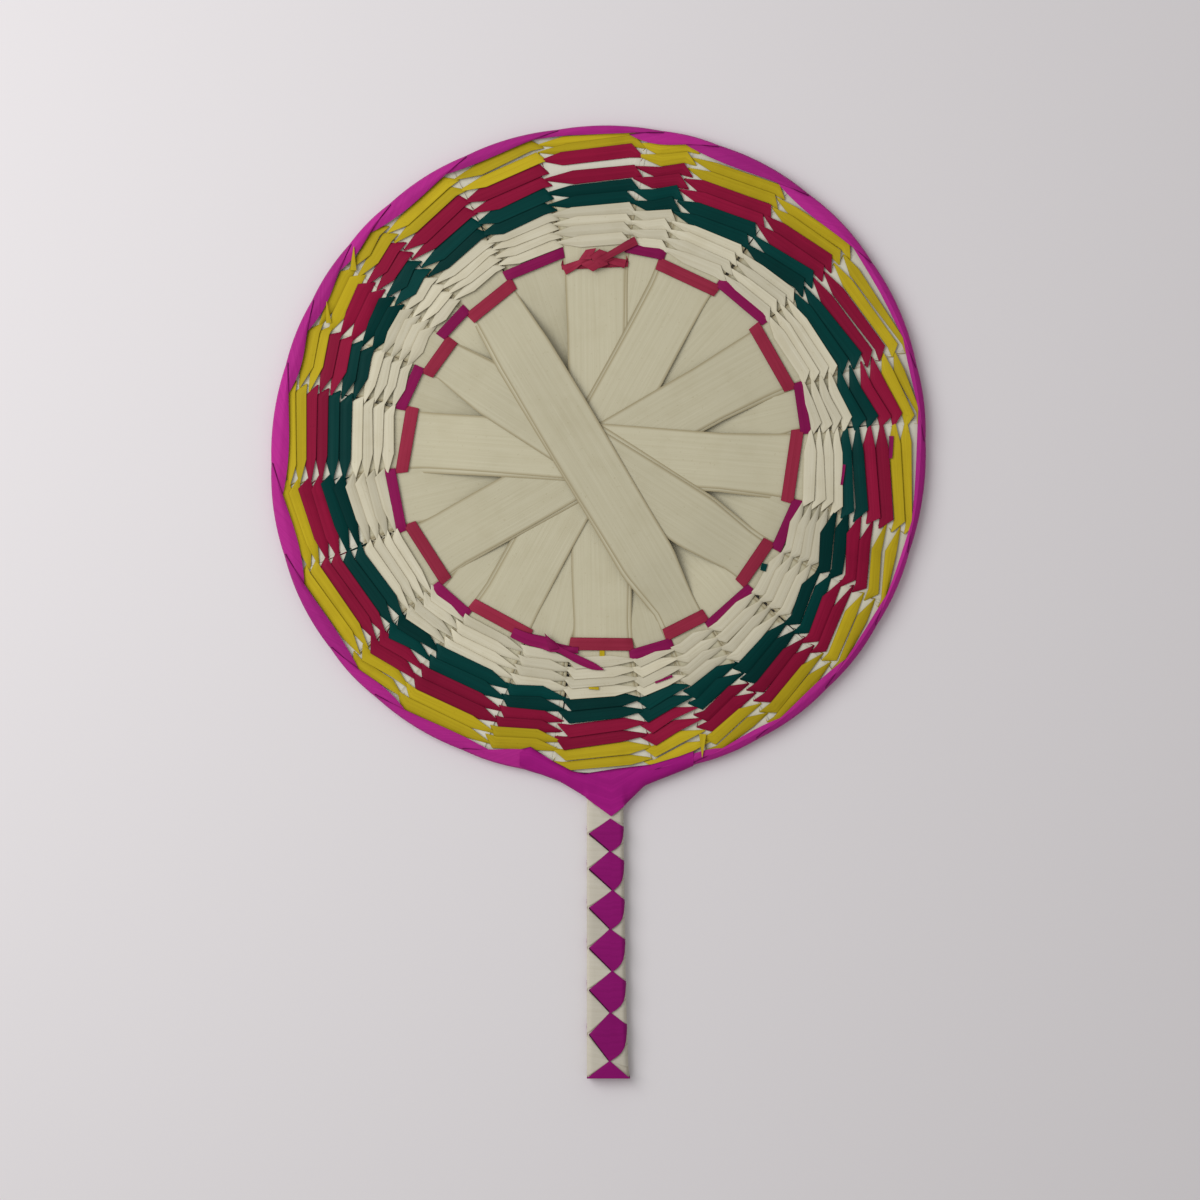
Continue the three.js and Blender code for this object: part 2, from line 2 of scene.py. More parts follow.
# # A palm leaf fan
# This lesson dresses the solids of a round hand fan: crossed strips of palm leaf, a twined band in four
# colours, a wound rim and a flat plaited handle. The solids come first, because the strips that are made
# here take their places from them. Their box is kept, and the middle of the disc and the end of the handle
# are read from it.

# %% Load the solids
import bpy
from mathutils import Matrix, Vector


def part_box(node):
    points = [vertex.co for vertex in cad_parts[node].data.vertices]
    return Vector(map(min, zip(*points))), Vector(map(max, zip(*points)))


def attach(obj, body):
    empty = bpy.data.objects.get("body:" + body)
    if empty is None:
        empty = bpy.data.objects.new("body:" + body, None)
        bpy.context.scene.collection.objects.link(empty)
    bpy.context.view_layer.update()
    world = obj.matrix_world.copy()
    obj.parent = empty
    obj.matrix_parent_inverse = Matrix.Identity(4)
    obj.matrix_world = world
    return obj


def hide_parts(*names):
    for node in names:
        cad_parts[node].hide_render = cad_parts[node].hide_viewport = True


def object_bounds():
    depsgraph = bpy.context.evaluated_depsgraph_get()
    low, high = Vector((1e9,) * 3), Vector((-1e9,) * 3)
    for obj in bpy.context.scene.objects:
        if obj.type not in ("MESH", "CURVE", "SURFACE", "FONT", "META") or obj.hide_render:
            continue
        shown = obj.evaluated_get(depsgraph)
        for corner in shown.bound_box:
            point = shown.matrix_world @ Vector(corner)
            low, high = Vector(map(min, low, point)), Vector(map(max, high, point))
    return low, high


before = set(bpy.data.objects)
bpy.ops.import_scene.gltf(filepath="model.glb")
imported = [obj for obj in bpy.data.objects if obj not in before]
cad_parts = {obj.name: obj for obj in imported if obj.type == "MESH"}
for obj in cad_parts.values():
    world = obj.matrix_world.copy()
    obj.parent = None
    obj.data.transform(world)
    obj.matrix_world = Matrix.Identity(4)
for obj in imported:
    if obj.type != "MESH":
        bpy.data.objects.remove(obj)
cad_box = [[float(value) for value in corner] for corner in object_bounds()]

import math

import bpy
import numpy as np
from mathutils import Vector

MM = 0.001
DISC_RADIUS = 140 * MM
FAN_THICKNESS = 6.8 * MM
HUB = np.array([0.0, cad_box[1][1] - DISC_RADIUS, FAN_THICKNESS / 2])
print("solids:", len(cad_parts), "middle of the disc:", HUB.round(4))

# %% [markdown]
# The weave is counted in columns, one for each end of a leaf strip. The hand made them uneven, so their
# widths are a list in degrees, the same that the solids use. Bearings run clockwise from the top. All
# points of the disc can then be written as a bearing, a radius and a height over the middle plane, which
# is far easier to think in than x and y.

# %% Columns and points on the disc
COLUMN_WIDTHS = [19, 10, 18, 16, 20, 13, 20, 14, 14, 15, 12, 11,
                 17, 13, 18, 11, 18, 16, 18, 12, 12, 10, 16, 17]
FIRST_BORDER = -11
COLUMN_COUNT = len(COLUMN_WIDTHS)
NECK_COLUMN = 12
BORDERS = FIRST_BORDER + np.concatenate([[0], np.cumsum(COLUMN_WIDTHS)]) * 360 / sum(COLUMN_WIDTHS)


def column(k):
    """Start, middle and end bearing of a column, counted on past the first turn."""
    turn, index = divmod(k, COLUMN_COUNT)
    start, end = BORDERS[index:index + 2] + 360 * turn
    return start, (start + end) / 2, end


def on_disc(bearing, radius, height):
    """Points at bearings in degrees, radii and heights over the middle plane."""
    angle = np.radians(bearing)
    x = HUB[0] + radius * np.sin(angle)
    y = HUB[1] + radius * np.cos(angle)
    return np.stack(np.broadcast_arrays(x, y, HUB[2] + height), axis=-1)


def arc_degrees(length, radius):
    return np.degrees(length / radius)


def smooth(share):
    """A soft step from 0 to 1."""
    share = np.clip(share, 0, 1)
    return share * share * (3 - 2 * share)


print("columns:", COLUMN_COUNT, "borders close:", math.isclose(BORDERS[-1] - BORDERS[0], 360))

# %% [markdown]
# A hoop that is bent by hand isn't quite round, and neither is the ring of lashings inside the band. Each
# is a circle with a few waves on it. A wave has an order, which says how often it comes round the disc, a
# size, and the bearing of one of its crests. Four waves follow a hand-made edge to about a millimetre.

# %% Out of round
OUTLINE_WAVES = [(1, 1.3 * MM, 178), (2, 1.3 * MM, 53), (3, 0.5 * MM, 20), (4, 0.8 * MM, 52)]
RING_WAVES = [(1, 1.7 * MM, 166), (2, 2.3 * MM, 52), (3, 0.8 * MM, 13), (4, 0.85 * MM, -18)]


def wave_sum(bearing, waves):
    """Waves, each of order, size and crest, added up at a bearing."""
    return sum(size * np.cos(np.radians(order * (bearing - crest))) for order, size, crest in waves)


def out_of_round(bearing):
    """How far the edge of the fan lies outside its circle."""
    return wave_sum(bearing, OUTLINE_WAVES)


edge_waves = out_of_round(np.arange(360)) / MM
print("edge off its circle, mm:", edge_waves.min().round(1), "to", edge_waves.max().round(1))

# %% [markdown]
# Dried palm leaf has fibres that run along the strip, a slight satin shine and blotches where it dried
# unevenly, and its edges are darkened with painted shade, for the dark lines where strips lap and fold.
# One recipe can serve every dye: only the colours differ. The fibres must turn with each strip, so the
# recipe reads the strip's own UV map, which is laid out in metres, and the blotches read Object
# coordinates. Two attributes painted on each strip, its tone and its edge, let neighbouring bars differ
# and let the painted shade darken the edges. First come small helpers that add and link nodes.

# %% Nodes for the finish
def feed(tree, socket, value):
    """Links a socket to another one, or sets it to a value."""
    if isinstance(value, bpy.types.NodeSocket):
        tree.links.new(value, socket)
    else:
        socket.default_value = value


def add_node(tree, kind, inputs=None, **settings):
    """A shader node with its settings, and its sockets set to values or linked to other sockets."""
    node = tree.nodes.new(kind)
    for key, value in settings.items():
        setattr(node, key, value)
    for socket, value in (inputs or {}).items():
        feed(tree, node.inputs[socket], value)
    return node


def streaks(tree, uv, along, across, detail):
    """Noise drawn out along the strip: so many features to a metre along it and across it."""
    mapping = add_node(tree, "ShaderNodeMapping", {"Vector": uv, "Scale": (along, across, 1)})
    noise = add_node(tree, "ShaderNodeTexNoise",
                     {"Vector": mapping.outputs["Vector"], "Scale": 1, "Detail": detail, "Roughness": 0.6})
    return noise.outputs["Fac"]


def spots(tree, place, scale, detail):
    """Noise that is the same in all directions: so many features to a metre."""
    noise = add_node(tree, "ShaderNodeTexNoise", {"Vector": place, "Scale": scale, "Detail": detail})
    return noise.outputs["Fac"]


def remap(tree, value, low, high, new_low, new_high):
    node = add_node(tree, "ShaderNodeMapRange", {
        "Value": value, "From Min": low, "From Max": high, "To Min": new_low, "To Max": new_high})
    return node.outputs["Result"]


def blend(tree, share, first, second, blend_type="MIX"):
    node = add_node(tree, "ShaderNodeMix", data_type="RGBA", blend_type=blend_type)
    sockets = [socket for socket in node.inputs if socket.enabled]
    for socket, value in zip(sockets, (share, first, second)):
        feed(tree, socket, value)
    return [socket for socket in node.outputs if socket.enabled][0]


def groove(tree, shader, height, strength, distance):
    """Gives a shader the bumps of a height pattern."""
    bump = add_node(tree, "ShaderNodeBump", {"Height": height, "Strength": strength, "Distance": distance})
    feed(tree, shader.inputs["Normal"], bump.outputs["Normal"])


def new_finish(name):
    """An empty finish: the material, its node tree, its shader and the coordinates to read."""
    finish = bpy.data.materials.new(name)
    finish.use_nodes = True
    tree = finish.node_tree
    return finish, tree, tree.nodes["Principled BSDF"], add_node(tree, "ShaderNodeTexCoord").outputs


def from_srgb(red, green, blue):
    values = [channel / 255 for channel in (red, green, blue)]
    linear = [v / 12.92 if v <= 0.04045 else ((v + 0.055) / 1.055) ** 2.4 for v in values]
    return (*linear, 1.0)


# %% [markdown]
# The colours are written as they look on the strip. Each leaf shows its fibres as darker lines and goes
# darker still along its edges, with painted shade for the dark lines where strips lap and fold. A tone over
# 1 is painted light: it fades the leaf towards a pale cream, which lightens the spokes in the gaps between
# the bars of the band, where the bars shade them. The layers are mixed one over the other in a loop, each
# wherever its pattern lies between two levels. The bump comes from the same streaks as the colour, so a
# dark fibre is also a groove.

# %% Recipe for leaf
FIBRES = {"along": 35, "across": 3200, "detail": 3}
VEINS = {"along": 9, "across": 650, "detail": 2}
BLOTCHES = {"scale": 85, "detail": 3}
FLECKS = {"scale": 900, "detail": 1}
FIBRE_DEPTH = 0.35
VEIN_DEPTH = 0.3
BLOTCH_DEPTH = 0.3
FLECK_DEPTH = 0.3
# Painted shade along the edges of every strip, for the dark lines where strips lap and fold.
EDGE_SHADE_DEPTH = 0.85
# Painted light: a tone over 1 fades the leaf towards this pale cream, which lightens the spokes in the gaps
# between the bars, where the bars shade them.
PAINTED_LIGHT_DEPTH = 0.7
PAINTED_LIGHT_LEAF = (222, 220, 208)
LEAF_ROUGHNESS = (0.44, 0.62)
LEAF_SHINE = 0.06
GROOVE_STRENGTH = 0.35
GROOVE_DEPTH = 0.15 * MM


def leaf_finish(name, body, shade, edge_shade, tone_depth, grain):
    """Palm leaf: its body colour, the colours of its fibres and of the painted shade at its edges, how far
    the tones of single strips differ, and how strongly the grain shows."""
    finish, tree, shader, coords = new_finish(name)
    body, shade, edge_shade, painted_light = (from_srgb(*colour) for colour in (body, shade, edge_shade, PAINTED_LIGHT_LEAF))
    fine = streaks(tree, coords["UV"], **FIBRES)
    broad = streaks(tree, coords["UV"], **VEINS)
    blotch = spots(tree, coords["Object"], **BLOTCHES)
    fleck = spots(tree, coords["Object"], **FLECKS)
    tone = add_node(tree, "ShaderNodeAttribute", attribute_name="tone").outputs["Fac"]
    edge = add_node(tree, "ShaderNodeAttribute", attribute_name="edge").outputs["Fac"]
    layers = [
        (fine, 0.35, 0.68, FIBRE_DEPTH * grain, shade),
        (broad, 0.4, 0.66, VEIN_DEPTH * grain, shade),
        (blotch, 0.5, 0.75, BLOTCH_DEPTH * grain, shade),
        # Painted shade: the edges go dark, as in the shadow where strips lap and fold.
        (edge, 0.9, 1.0, EDGE_SHADE_DEPTH, edge_shade),
        (fleck, 0.7, 0.76, FLECK_DEPTH, shade),
    ]
    colour = body
    for pattern, low, high, depth, layer_colour in layers:
        colour = blend(tree, remap(tree, pattern, low, high, 0, depth), colour, layer_colour)
    light = remap(tree, tone, -1, 1, 1 - tone_depth, 1 + tone_depth)
    grey = add_node(tree, "ShaderNodeCombineColor", {0: light, 1: light, 2: light}).outputs[0]
    colour = blend(tree, 1.0, colour, grey, "MULTIPLY")
    # Painted light: a tone over 1 fades the colour towards pale cream.
    colour = blend(tree, remap(tree, tone, 1, 2, 0, PAINTED_LIGHT_DEPTH), colour, painted_light)
    feed(tree, shader.inputs["Base Color"], colour)
    feed(tree, shader.inputs["Roughness"], remap(tree, broad, 0.3, 0.7, *LEAF_ROUGHNESS))
    feed(tree, shader.inputs["Specular IOR Level"], LEAF_SHINE)
    both_streaks = add_node(tree, "ShaderNodeMath", {0: fine, 1: broad}, operation="ADD").outputs[0]
    groove(tree, shader, both_streaks, GROOVE_STRENGTH, GROOVE_DEPTH)
    return finish


# %% [markdown]
# Now the dyes. Each line gives the colour of the body, of the fibres and of the painted shade along the
# edges, then how far single strips differ in tone, and how strongly the grain shows. Bare leaf comes in
# three shades, for the spokes, the band and the handle, and dyed leaf in eight.

# %% Bare and dyed leaf
LEAF_LOOKS = {
    "cream_leaf": ((198, 192, 166), (164, 154, 120), (150, 136, 102), 0.1, 0.5),
    "pale_leaf": ((211, 205, 183), (176, 165, 132), (180, 168, 138), 0.09, 0.7),
    "handle_leaf": ((200, 194, 180), (172, 164, 142), (168, 158, 138), 0.09, 0.6),
    "magenta_leaf": ((164, 26, 126), (120, 12, 96), (72, 4, 54), 0.16, 0.7),
    # Painted sheen: a lighter magenta than the collar's, for the light the rounded rim catches.
    "sheen_lit_rim_leaf": ((178, 42, 136), (134, 24, 106), (72, 4, 54), 0.16, 0.7),
    "dark_magenta_leaf": ((142, 20, 108), (108, 10, 82), (34, 2, 26), 0.12, 0.6),
    "wine_leaf": ((140, 24, 84), (104, 10, 60), (84, 6, 46), 0.14, 0.8),
    "red_leaf": ((142, 20, 56), (104, 8, 38), (88, 6, 32), 0.16, 0.8),
    "faded_red_leaf": ((154, 46, 70), (118, 24, 44), (100, 14, 34), 0.14, 0.8),
    "green_leaf": ((0, 58, 55), (0, 38, 36), (0, 30, 28), 0.24, 0.8),
    "yellow_leaf": ((191, 169, 34), (150, 126, 18), (128, 106, 16), 0.14, 0.8),
}
FINISHES = {name: leaf_finish(name, *look) for name, look in LEAF_LOOKS.items()}
print("finishes:", sorted(FINISHES))

# %% [markdown]
# Nearly every piece of this fan is a strip of leaf, so one helper makes them. A strip could be drawn as a
# curve with a flat bevel, but then its width could not change and it could not carry a UV map in metres.
# So the helper adds a grid primitive with as many rows as the strip needs, lays the rows along the strip's
# path, measures the map from the laid points, and gives the sheet its thickness with an applied Solidify.

# %% Grids, seams and thickness
LEAF_THICKNESS = 0.3 * MM
MERGE_DISTANCE = 0.001 * MM
SMOOTH_ANGLE = math.radians(40)


def add_grid(name, points):
    """A grid primitive laid through rows of points, shape (rows, across, 3)."""
    rows, across = points.shape[:2]
    bpy.ops.object.select_all(action="DESELECT")
    bpy.ops.mesh.primitive_grid_add(x_subdivisions=across - 1, y_subdivisions=rows - 1, size=1)
    grid = bpy.context.object
    grid.name = name
    grid.data.vertices.foreach_set("co", points.astype(np.float32).ravel())
    return grid


def close_seam(fill_ends=False):
    """Merges the rows or sides of the active grid that meet, and may fill the open ends of the tube."""
    bpy.ops.object.mode_set(mode="EDIT")
    bpy.ops.mesh.select_all(action="SELECT")
    bpy.ops.mesh.remove_doubles(threshold=MERGE_DISTANCE)
    if fill_ends:
        bpy.ops.mesh.fill_holes(sides=0)
        bpy.ops.mesh.select_all(action="SELECT")
        bpy.ops.mesh.normals_make_consistent(inside=False)
    bpy.ops.object.mode_set(mode="OBJECT")


def thicken(sheet, thickness):
    """Gives the active sheet its thickness, half to either side."""
    wall = sheet.modifiers.new("leaf thickness", "SOLIDIFY")
    wall.thickness = thickness
    wall.offset = 0
    bpy.ops.object.modifier_apply(modifier=wall.name)


# %% [markdown]
# A strip also carries its map, and two painted values for each of its points: a tone, which is the same
# all along a row, and how near the point lies to the edge of the strip. The finish reads them.

# %% A strip of leaf
def lay_map(mesh, points):
    """UV in metres: u runs along the rows, v across the strip from its middle."""
    middle = points.mean(axis=1)
    steps = np.linalg.norm(np.diff(middle, axis=0), axis=1)
    along = np.concatenate([[0], np.cumsum(steps)])
    widths = np.linalg.norm(points - middle[:, None], axis=2)
    half = points.shape[1] // 2
    widths[:, :half] *= -1
    corners = np.empty(len(mesh.loops), dtype=np.int32)
    mesh.loops.foreach_get("vertex_index", corners)
    uv = np.stack([np.repeat(along, points.shape[1]), widths.ravel()], axis=1)
    mesh.uv_layers.active.data.foreach_set("uv", uv[corners].astype(np.float32).ravel())


def paint(mesh, name, values):
    layer = mesh.attributes.new(name, "FLOAT", "POINT")
    layer.data.foreach_set("value", np.asarray(values, dtype=np.float32).ravel())


def leaf_sheet(name, points, tone=0.0, closed=False, thickness=LEAF_THICKNESS, edge=None):
    """A sheet of leaf through rows of points. A closed one joins its end rows."""
    rows, across = points.shape[:2]
    sheet = add_grid(name, points)
    lay_map(sheet.data, points)
    paint(sheet.data, "tone", np.broadcast_to(np.reshape(tone, (-1, 1)), (rows, across)))
    if edge is None:
        edge = np.abs(np.linspace(-1, 1, across))
    paint(sheet.data, "edge", np.broadcast_to(edge, (rows, across)))
    if closed:
        close_seam()
    thicken(sheet, thickness)
    bpy.ops.object.shade_smooth_by_angle(angle=SMOOTH_ANGLE)
    return sheet


# %% [markdown]
# A piece often has several leaves: the two of a doubled spoke, or a strand and its loose ends. They are
# joined into one object. Then the piece is dressed: it takes its finish, which is the slot's own unless
# another is named, is told to ride on the fan's one body, and the solid it stands for is hidden.

# %% Joining and dressing
def join_sheets(name, sheets):
    """Leaves that lie together as one piece."""
    bpy.ops.object.select_all(action="DESELECT")
    for sheet in sheets:
        sheet.select_set(True)
    bpy.context.view_layer.objects.active = sheets[0]
    if len(sheets) > 1:
        bpy.ops.object.join()
    sheets[0].name = name
    return sheets[0]


def dress(piece, node, slot, finish=None):
    """The piece takes its finish, rides on the fan and stands for its solid."""
    piece.data.materials.clear()
    piece.data.materials.append(FINISHES[finish or slot])
    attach(piece, "root")
    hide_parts(node)
    return len(piece.data.polygons)


# %% [markdown]
# Twelve broad strips cross at the middle and spread into the spokes. The front six are stacked over the
# middle plane where they cross, the back six under it, and all come level once they are clear of each
# other. A strip's path is a short list of stations from rim to rim, with its half width at each of them.

# %% Path of a spoke
LEVEL_PITCH = 0.5 * MM
SPREAD_RADIUS = 74 * MM
LEVEL_RUN = 22 * MM
SPOKE_TIP_DEPTH = 2.0 * MM
SPOKE_TIP_RADIUS = DISC_RADIUS - SPOKE_TIP_DEPTH
SPOKE_WIDTH = 24 * MM
SPOKE_LAP = 1.0 * MM
BACK_SPOKE_EXTRA = 5 * MM
WEAVE_START = 88.3 * MM
WEAVE_SLIT = 2.2 * MM


def spoke_half_width(k, radius):
    start, _, end = column(k)
    return (math.radians(end - start) * radius + SPOKE_LAP) / 2


def crossing_half_width(k):
    """Half width where the strips cross: that of the leaf, or less where the columns are narrow."""
    before, own, after = [np.diff(column(index)[::2])[0] for index in (k - 1, k, k + 1)]
    share = math.radians(own + (before + after) / 2) * (SPREAD_RADIUS - LEVEL_RUN)
    return min(SPOKE_WIDTH, share + SPOKE_LAP) / 2


def tip_radius(bearing):
    """Where a spoke ends, hidden under the rim."""
    return SPOKE_TIP_RADIUS + out_of_round(bearing)


def spoke_path(k, side, turn):
    """Stations of a strip from end to end, and its half width at each."""
    extra = 0 if side > 0 else BACK_SPOKE_EXTRA / 2
    legs = []
    halves = []
    for end in (k, k + COLUMN_COUNT // 2):
        bearing = column(end)[1] + turn
        radii = np.array([tip_radius(bearing), WEAVE_START, SPREAD_RADIUS])
        legs.append(on_disc(bearing, radii, side * LEVEL_PITCH / 2))
        halves.append([
            spoke_half_width(end, SPOKE_TIP_RADIUS),
            spoke_half_width(end, WEAVE_START) - WEAVE_SLIT / 2,
            spoke_half_width(end, SPREAD_RADIUS) + extra,
            crossing_half_width(end) + extra,
        ])
    spread_near, spread_far = legs[0][-1], legs[1][-1]
    forward = (spread_far - spread_near) / np.linalg.norm(spread_far - spread_near)
    crossing = np.array([spread_near + forward * LEVEL_RUN, spread_far - forward * LEVEL_RUN])
    crossing[:, 2] = HUB[2] + side * (k // 2 + 0.5) * LEVEL_PITCH
    return np.concatenate([legs[0], crossing, legs[1][::-1]]), halves[0] + halves[1][::-1]


# %% [markdown]
# Each strip is a doubled leaf: the leaf was folded along one side, so a crease runs beside one edge and the
# under layer peeps out along the other. Small seeded waves keep the edges from looking ruled. Under the
# band a strip's edges curl up a little towards the front, and its ends are drawn in to follow the rim. Out
# there its tone goes over 1, which is painted light: the leaf in the shaded gaps between the bars is
# lightened towards a pale cream.

# %% One leaf of a spoke
SPOKE_ROWS = 72
SPOKE_ACROSS = 13
SPOKE_LEAF_THICKNESS = 0.16 * MM
EDGE_WANDER = 0.25 * MM
WANDER_RANGE = (40, 70)
WANDER_PHASE = 6
WANDER_SKEW = 2
LEAF_RIPPLE = 0.05 * MM
RIPPLE_RANGE = (60, 90)
RIPPLE_SKEW = 3
CREASE_SHARE = 0.72
CREASE_DROP = 0.18 * MM
PAD_LIFT = 0.35 * MM
PAD_RUN = 2 * MM
PAD_POWER = 4
SPOKE_TONES = 0.5
# Painted light: from this radius out the tone of a spoke rises over 1, lightening the leaf in the shaded
# gaps between the bars.
PAINTED_LIGHT_TONE = 2.0
PAINTED_LIGHT_FROM = 104 * MM
PAINTED_LIGHT_RUN = 4 * MM


def sideways(path):
    """Unit steps to the left of a path, level with the disc."""
    travel = np.gradient(path, axis=0)
    across = np.stack([-travel[:, 1], travel[:, 0], np.zeros(len(path))], axis=1)
    return across / np.linalg.norm(across, axis=1, keepdims=True)


def trim_to_rim(points):
    """Points past the rim's middle are drawn in, so that the spoke ends follow the rim."""
    outward = points[..., :2] - HUB[:2]
    bearing = np.degrees(np.arctan2(outward[..., 0], outward[..., 1]))
    share = np.minimum(1, tip_radius(bearing) / np.linalg.norm(outward, axis=2))
    points[..., :2] = HUB[:2] + outward * share[..., None]


def spoke_leaf(name, k, shift, turn, drop, rng):
    """One leaf of a strip: shifted sideways, turned a little, and dropped below its own level."""
    side = 1 if k % 2 == 0 else -1
    stations, halves = spoke_path(k, side, turn)
    lengths = np.concatenate([[0], np.cumsum(np.linalg.norm(np.diff(stations[:, :2], axis=0), axis=1))])
    at = np.linspace(0, lengths[-1], SPOKE_ROWS)
    middle = np.stack([np.interp(at, lengths, stations[:, axis]) for axis in range(3)], axis=1)
    half = np.interp(at, lengths, halves)
    places = np.linspace(-1, 1, SPOKE_ACROSS)
    waves = at[:, None] * rng.uniform(*WANDER_RANGE) + rng.uniform(0, WANDER_PHASE) + places * WANDER_SKEW
    offset = half[:, None] * places + EDGE_WANDER * np.sin(waves) + shift
    points = middle[:, None] + sideways(middle)[:, None] * offset[..., None]
    crease = np.clip((places * rng.choice([-1, 1]) - CREASE_SHARE) / (1 - CREASE_SHARE), 0, 1)
    ripple = LEAF_RIPPLE * np.sin(at[:, None] * rng.uniform(*RIPPLE_RANGE) + places * RIPPLE_SKEW)
    # The inner leaf of a back strip stays flat, or its crease would come up through the front strips.
    crease_drop = 0 if side < 0 and drop > 0 else CREASE_DROP
    points[..., 2] += side * (ripple - crease * crease_drop - drop)
    from_hub = np.linalg.norm(middle[:, :2] - HUB[:2], axis=1)
    covered = smooth((from_hub - WEAVE_START) / PAD_RUN)
    points[..., 2] += (PAD_LIFT * covered)[:, None] * places ** PAD_POWER
    trim_to_rim(points)
    # Painted light: the tone rises past the inner rows of the band.
    painted_light = PAINTED_LIGHT_TONE * smooth((from_hub - PAINTED_LIGHT_FROM) / PAINTED_LIGHT_RUN)
    tones = rng.uniform(-SPOKE_TONES, SPOKE_TONES) + painted_light
    return leaf_sheet(name, points, tones, thickness=SPOKE_LEAF_THICKNESS)


# %% [markdown]
# A strip has an upper leaf and an under leaf. The under leaf lies a little deeper, aside and askew, so a
# second edge shows beside the first. Strips in columns of an even number lie in front, the others behind.

# %% Spokes
UNDER_LEAF_DROP = 0.2 * MM
UNDER_LEAF_SHIFT = 1.3 * MM
UNDER_LEAF_TURN = 0.35
face_count = 0
for k in range(COLUMN_COUNT // 2):
    rng = np.random.default_rng(100 + k)
    node = ("front_spoke_" if k % 2 == 0 else "back_spoke_") + str(k // 2 + 1)
    shift = UNDER_LEAF_SHIFT * rng.choice([-1, 1])
    upper = spoke_leaf("upper_leaf", k, 0.0, 0.0, 0.0, rng)
    under = spoke_leaf("under_leaf", k, shift, rng.uniform(-1, 1) * UNDER_LEAF_TURN, UNDER_LEAF_DROP, rng)
    face_count += dress(join_sheets("leaf_" + node, [upper, under]), node, "cream_leaf")
print("spokes:", COLUMN_COUNT // 2, "faces:", face_count)

# %% [markdown]
# The band is twined: in every pair one strand passes over a spoke while its partner passes behind it, and
# between the spokes they change places, the one going down on the outer side and the other coming up on
# the inner side. So the bars lean outwards clockwise on both faces. Each bar is a flat six-sided patch
# with a point at either end. It could be modelled bar by bar, but a real strand is one strip, so each
# strand is laid as one closed loop, with rows close together at the points, where the leaf folds and dives.

# %% Corners of a bar
LOW_CORNER = 0.55
LOW_CORNER_LEAN = -0.52
HIGH_CORNER = 0.66
HIGH_CORNER_LEAN = 0.42
CORNER_PLAY = 0.1
START_TIP_INSET = 0.42
END_TIP_INSET = 0.12
TIP_SHARE = 0.05


def bar_corners(lean, rng):
    """Inner and outer edge of a bar, in pitches from its pair's middle, at its two tips and two corners."""
    low = LOW_CORNER + LOW_CORNER_LEAN * lean
    high = HIGH_CORNER + HIGH_CORNER_LEAN * lean
    start_tip = low - START_TIP_INSET
    end_tip = END_TIP_INSET - low
    loose = rng.uniform(-CORNER_PLAY, CORNER_PLAY, 4)
    outer = np.array([start_tip + TIP_SHARE, low + loose[0], high + loose[1], end_tip + TIP_SHARE])
    inner = np.array([start_tip - TIP_SHARE, loose[2] - high, loose[3] - low, end_tip - TIP_SHARE])
    return inner, outer


def straight_rows(stations, counts):
    """Rows on straight stretches between stations, each stretch without its last row but the final one."""
    shares = [np.linspace(0, 1, count, endpoint=False) for count in counts[:-1]]
    shares.append(np.linspace(0, 1, counts[-1]))
    stretches = []
    for first, last, share in zip(stations, stations[1:], shares):
        share = share.reshape((-1,) + (1,) * (stations.ndim - 1))
        stretches.append(first + (last - first) * share)
    return np.concatenate(stretches)


# %% [markdown]
# A strand runs round column by column. In each it has a pinched row where it passes between two spokes,
# and then a bar that climbs from the pinch, bulges a little, rolls to one side and comes down again. Its
# tapers and overruns are drawn by seed, so no two bars are alike, and no bar reaches past the rim.

# %% One strand of the band
STRAND_ACROSS = 7
STRETCH_ROWS = (5, 7, 5)
STRAND_THICKNESS = 0.25 * MM
STRAND_TO_EDGE = 2.0 * MM
BAR_HEIGHT = 1.1 * MM
BAR_PLAY = 0.06 * MM
BAR_PUFF = 0.2 * MM
BAR_ROLL = 0.36 * MM
BAR_CLIMB = 1.8 * MM
LEAST_CLIMB = 0.55
PINCH_SHARE = 0.12
PINCH_PLACE = 0.05
PINCH_LEAN = 0.2
START_TAPER = 9.5 * MM
START_RANGE = (0.7, 1.2)
MOST_START = 0.42
END_TAPER = 3.2 * MM
END_RANGE = (0.6, 1.4)
MOST_END = 0.36
TIP_OVERRUN = 1.6 * MM
OVERRUN_RANGE = (0.6, 1.3)


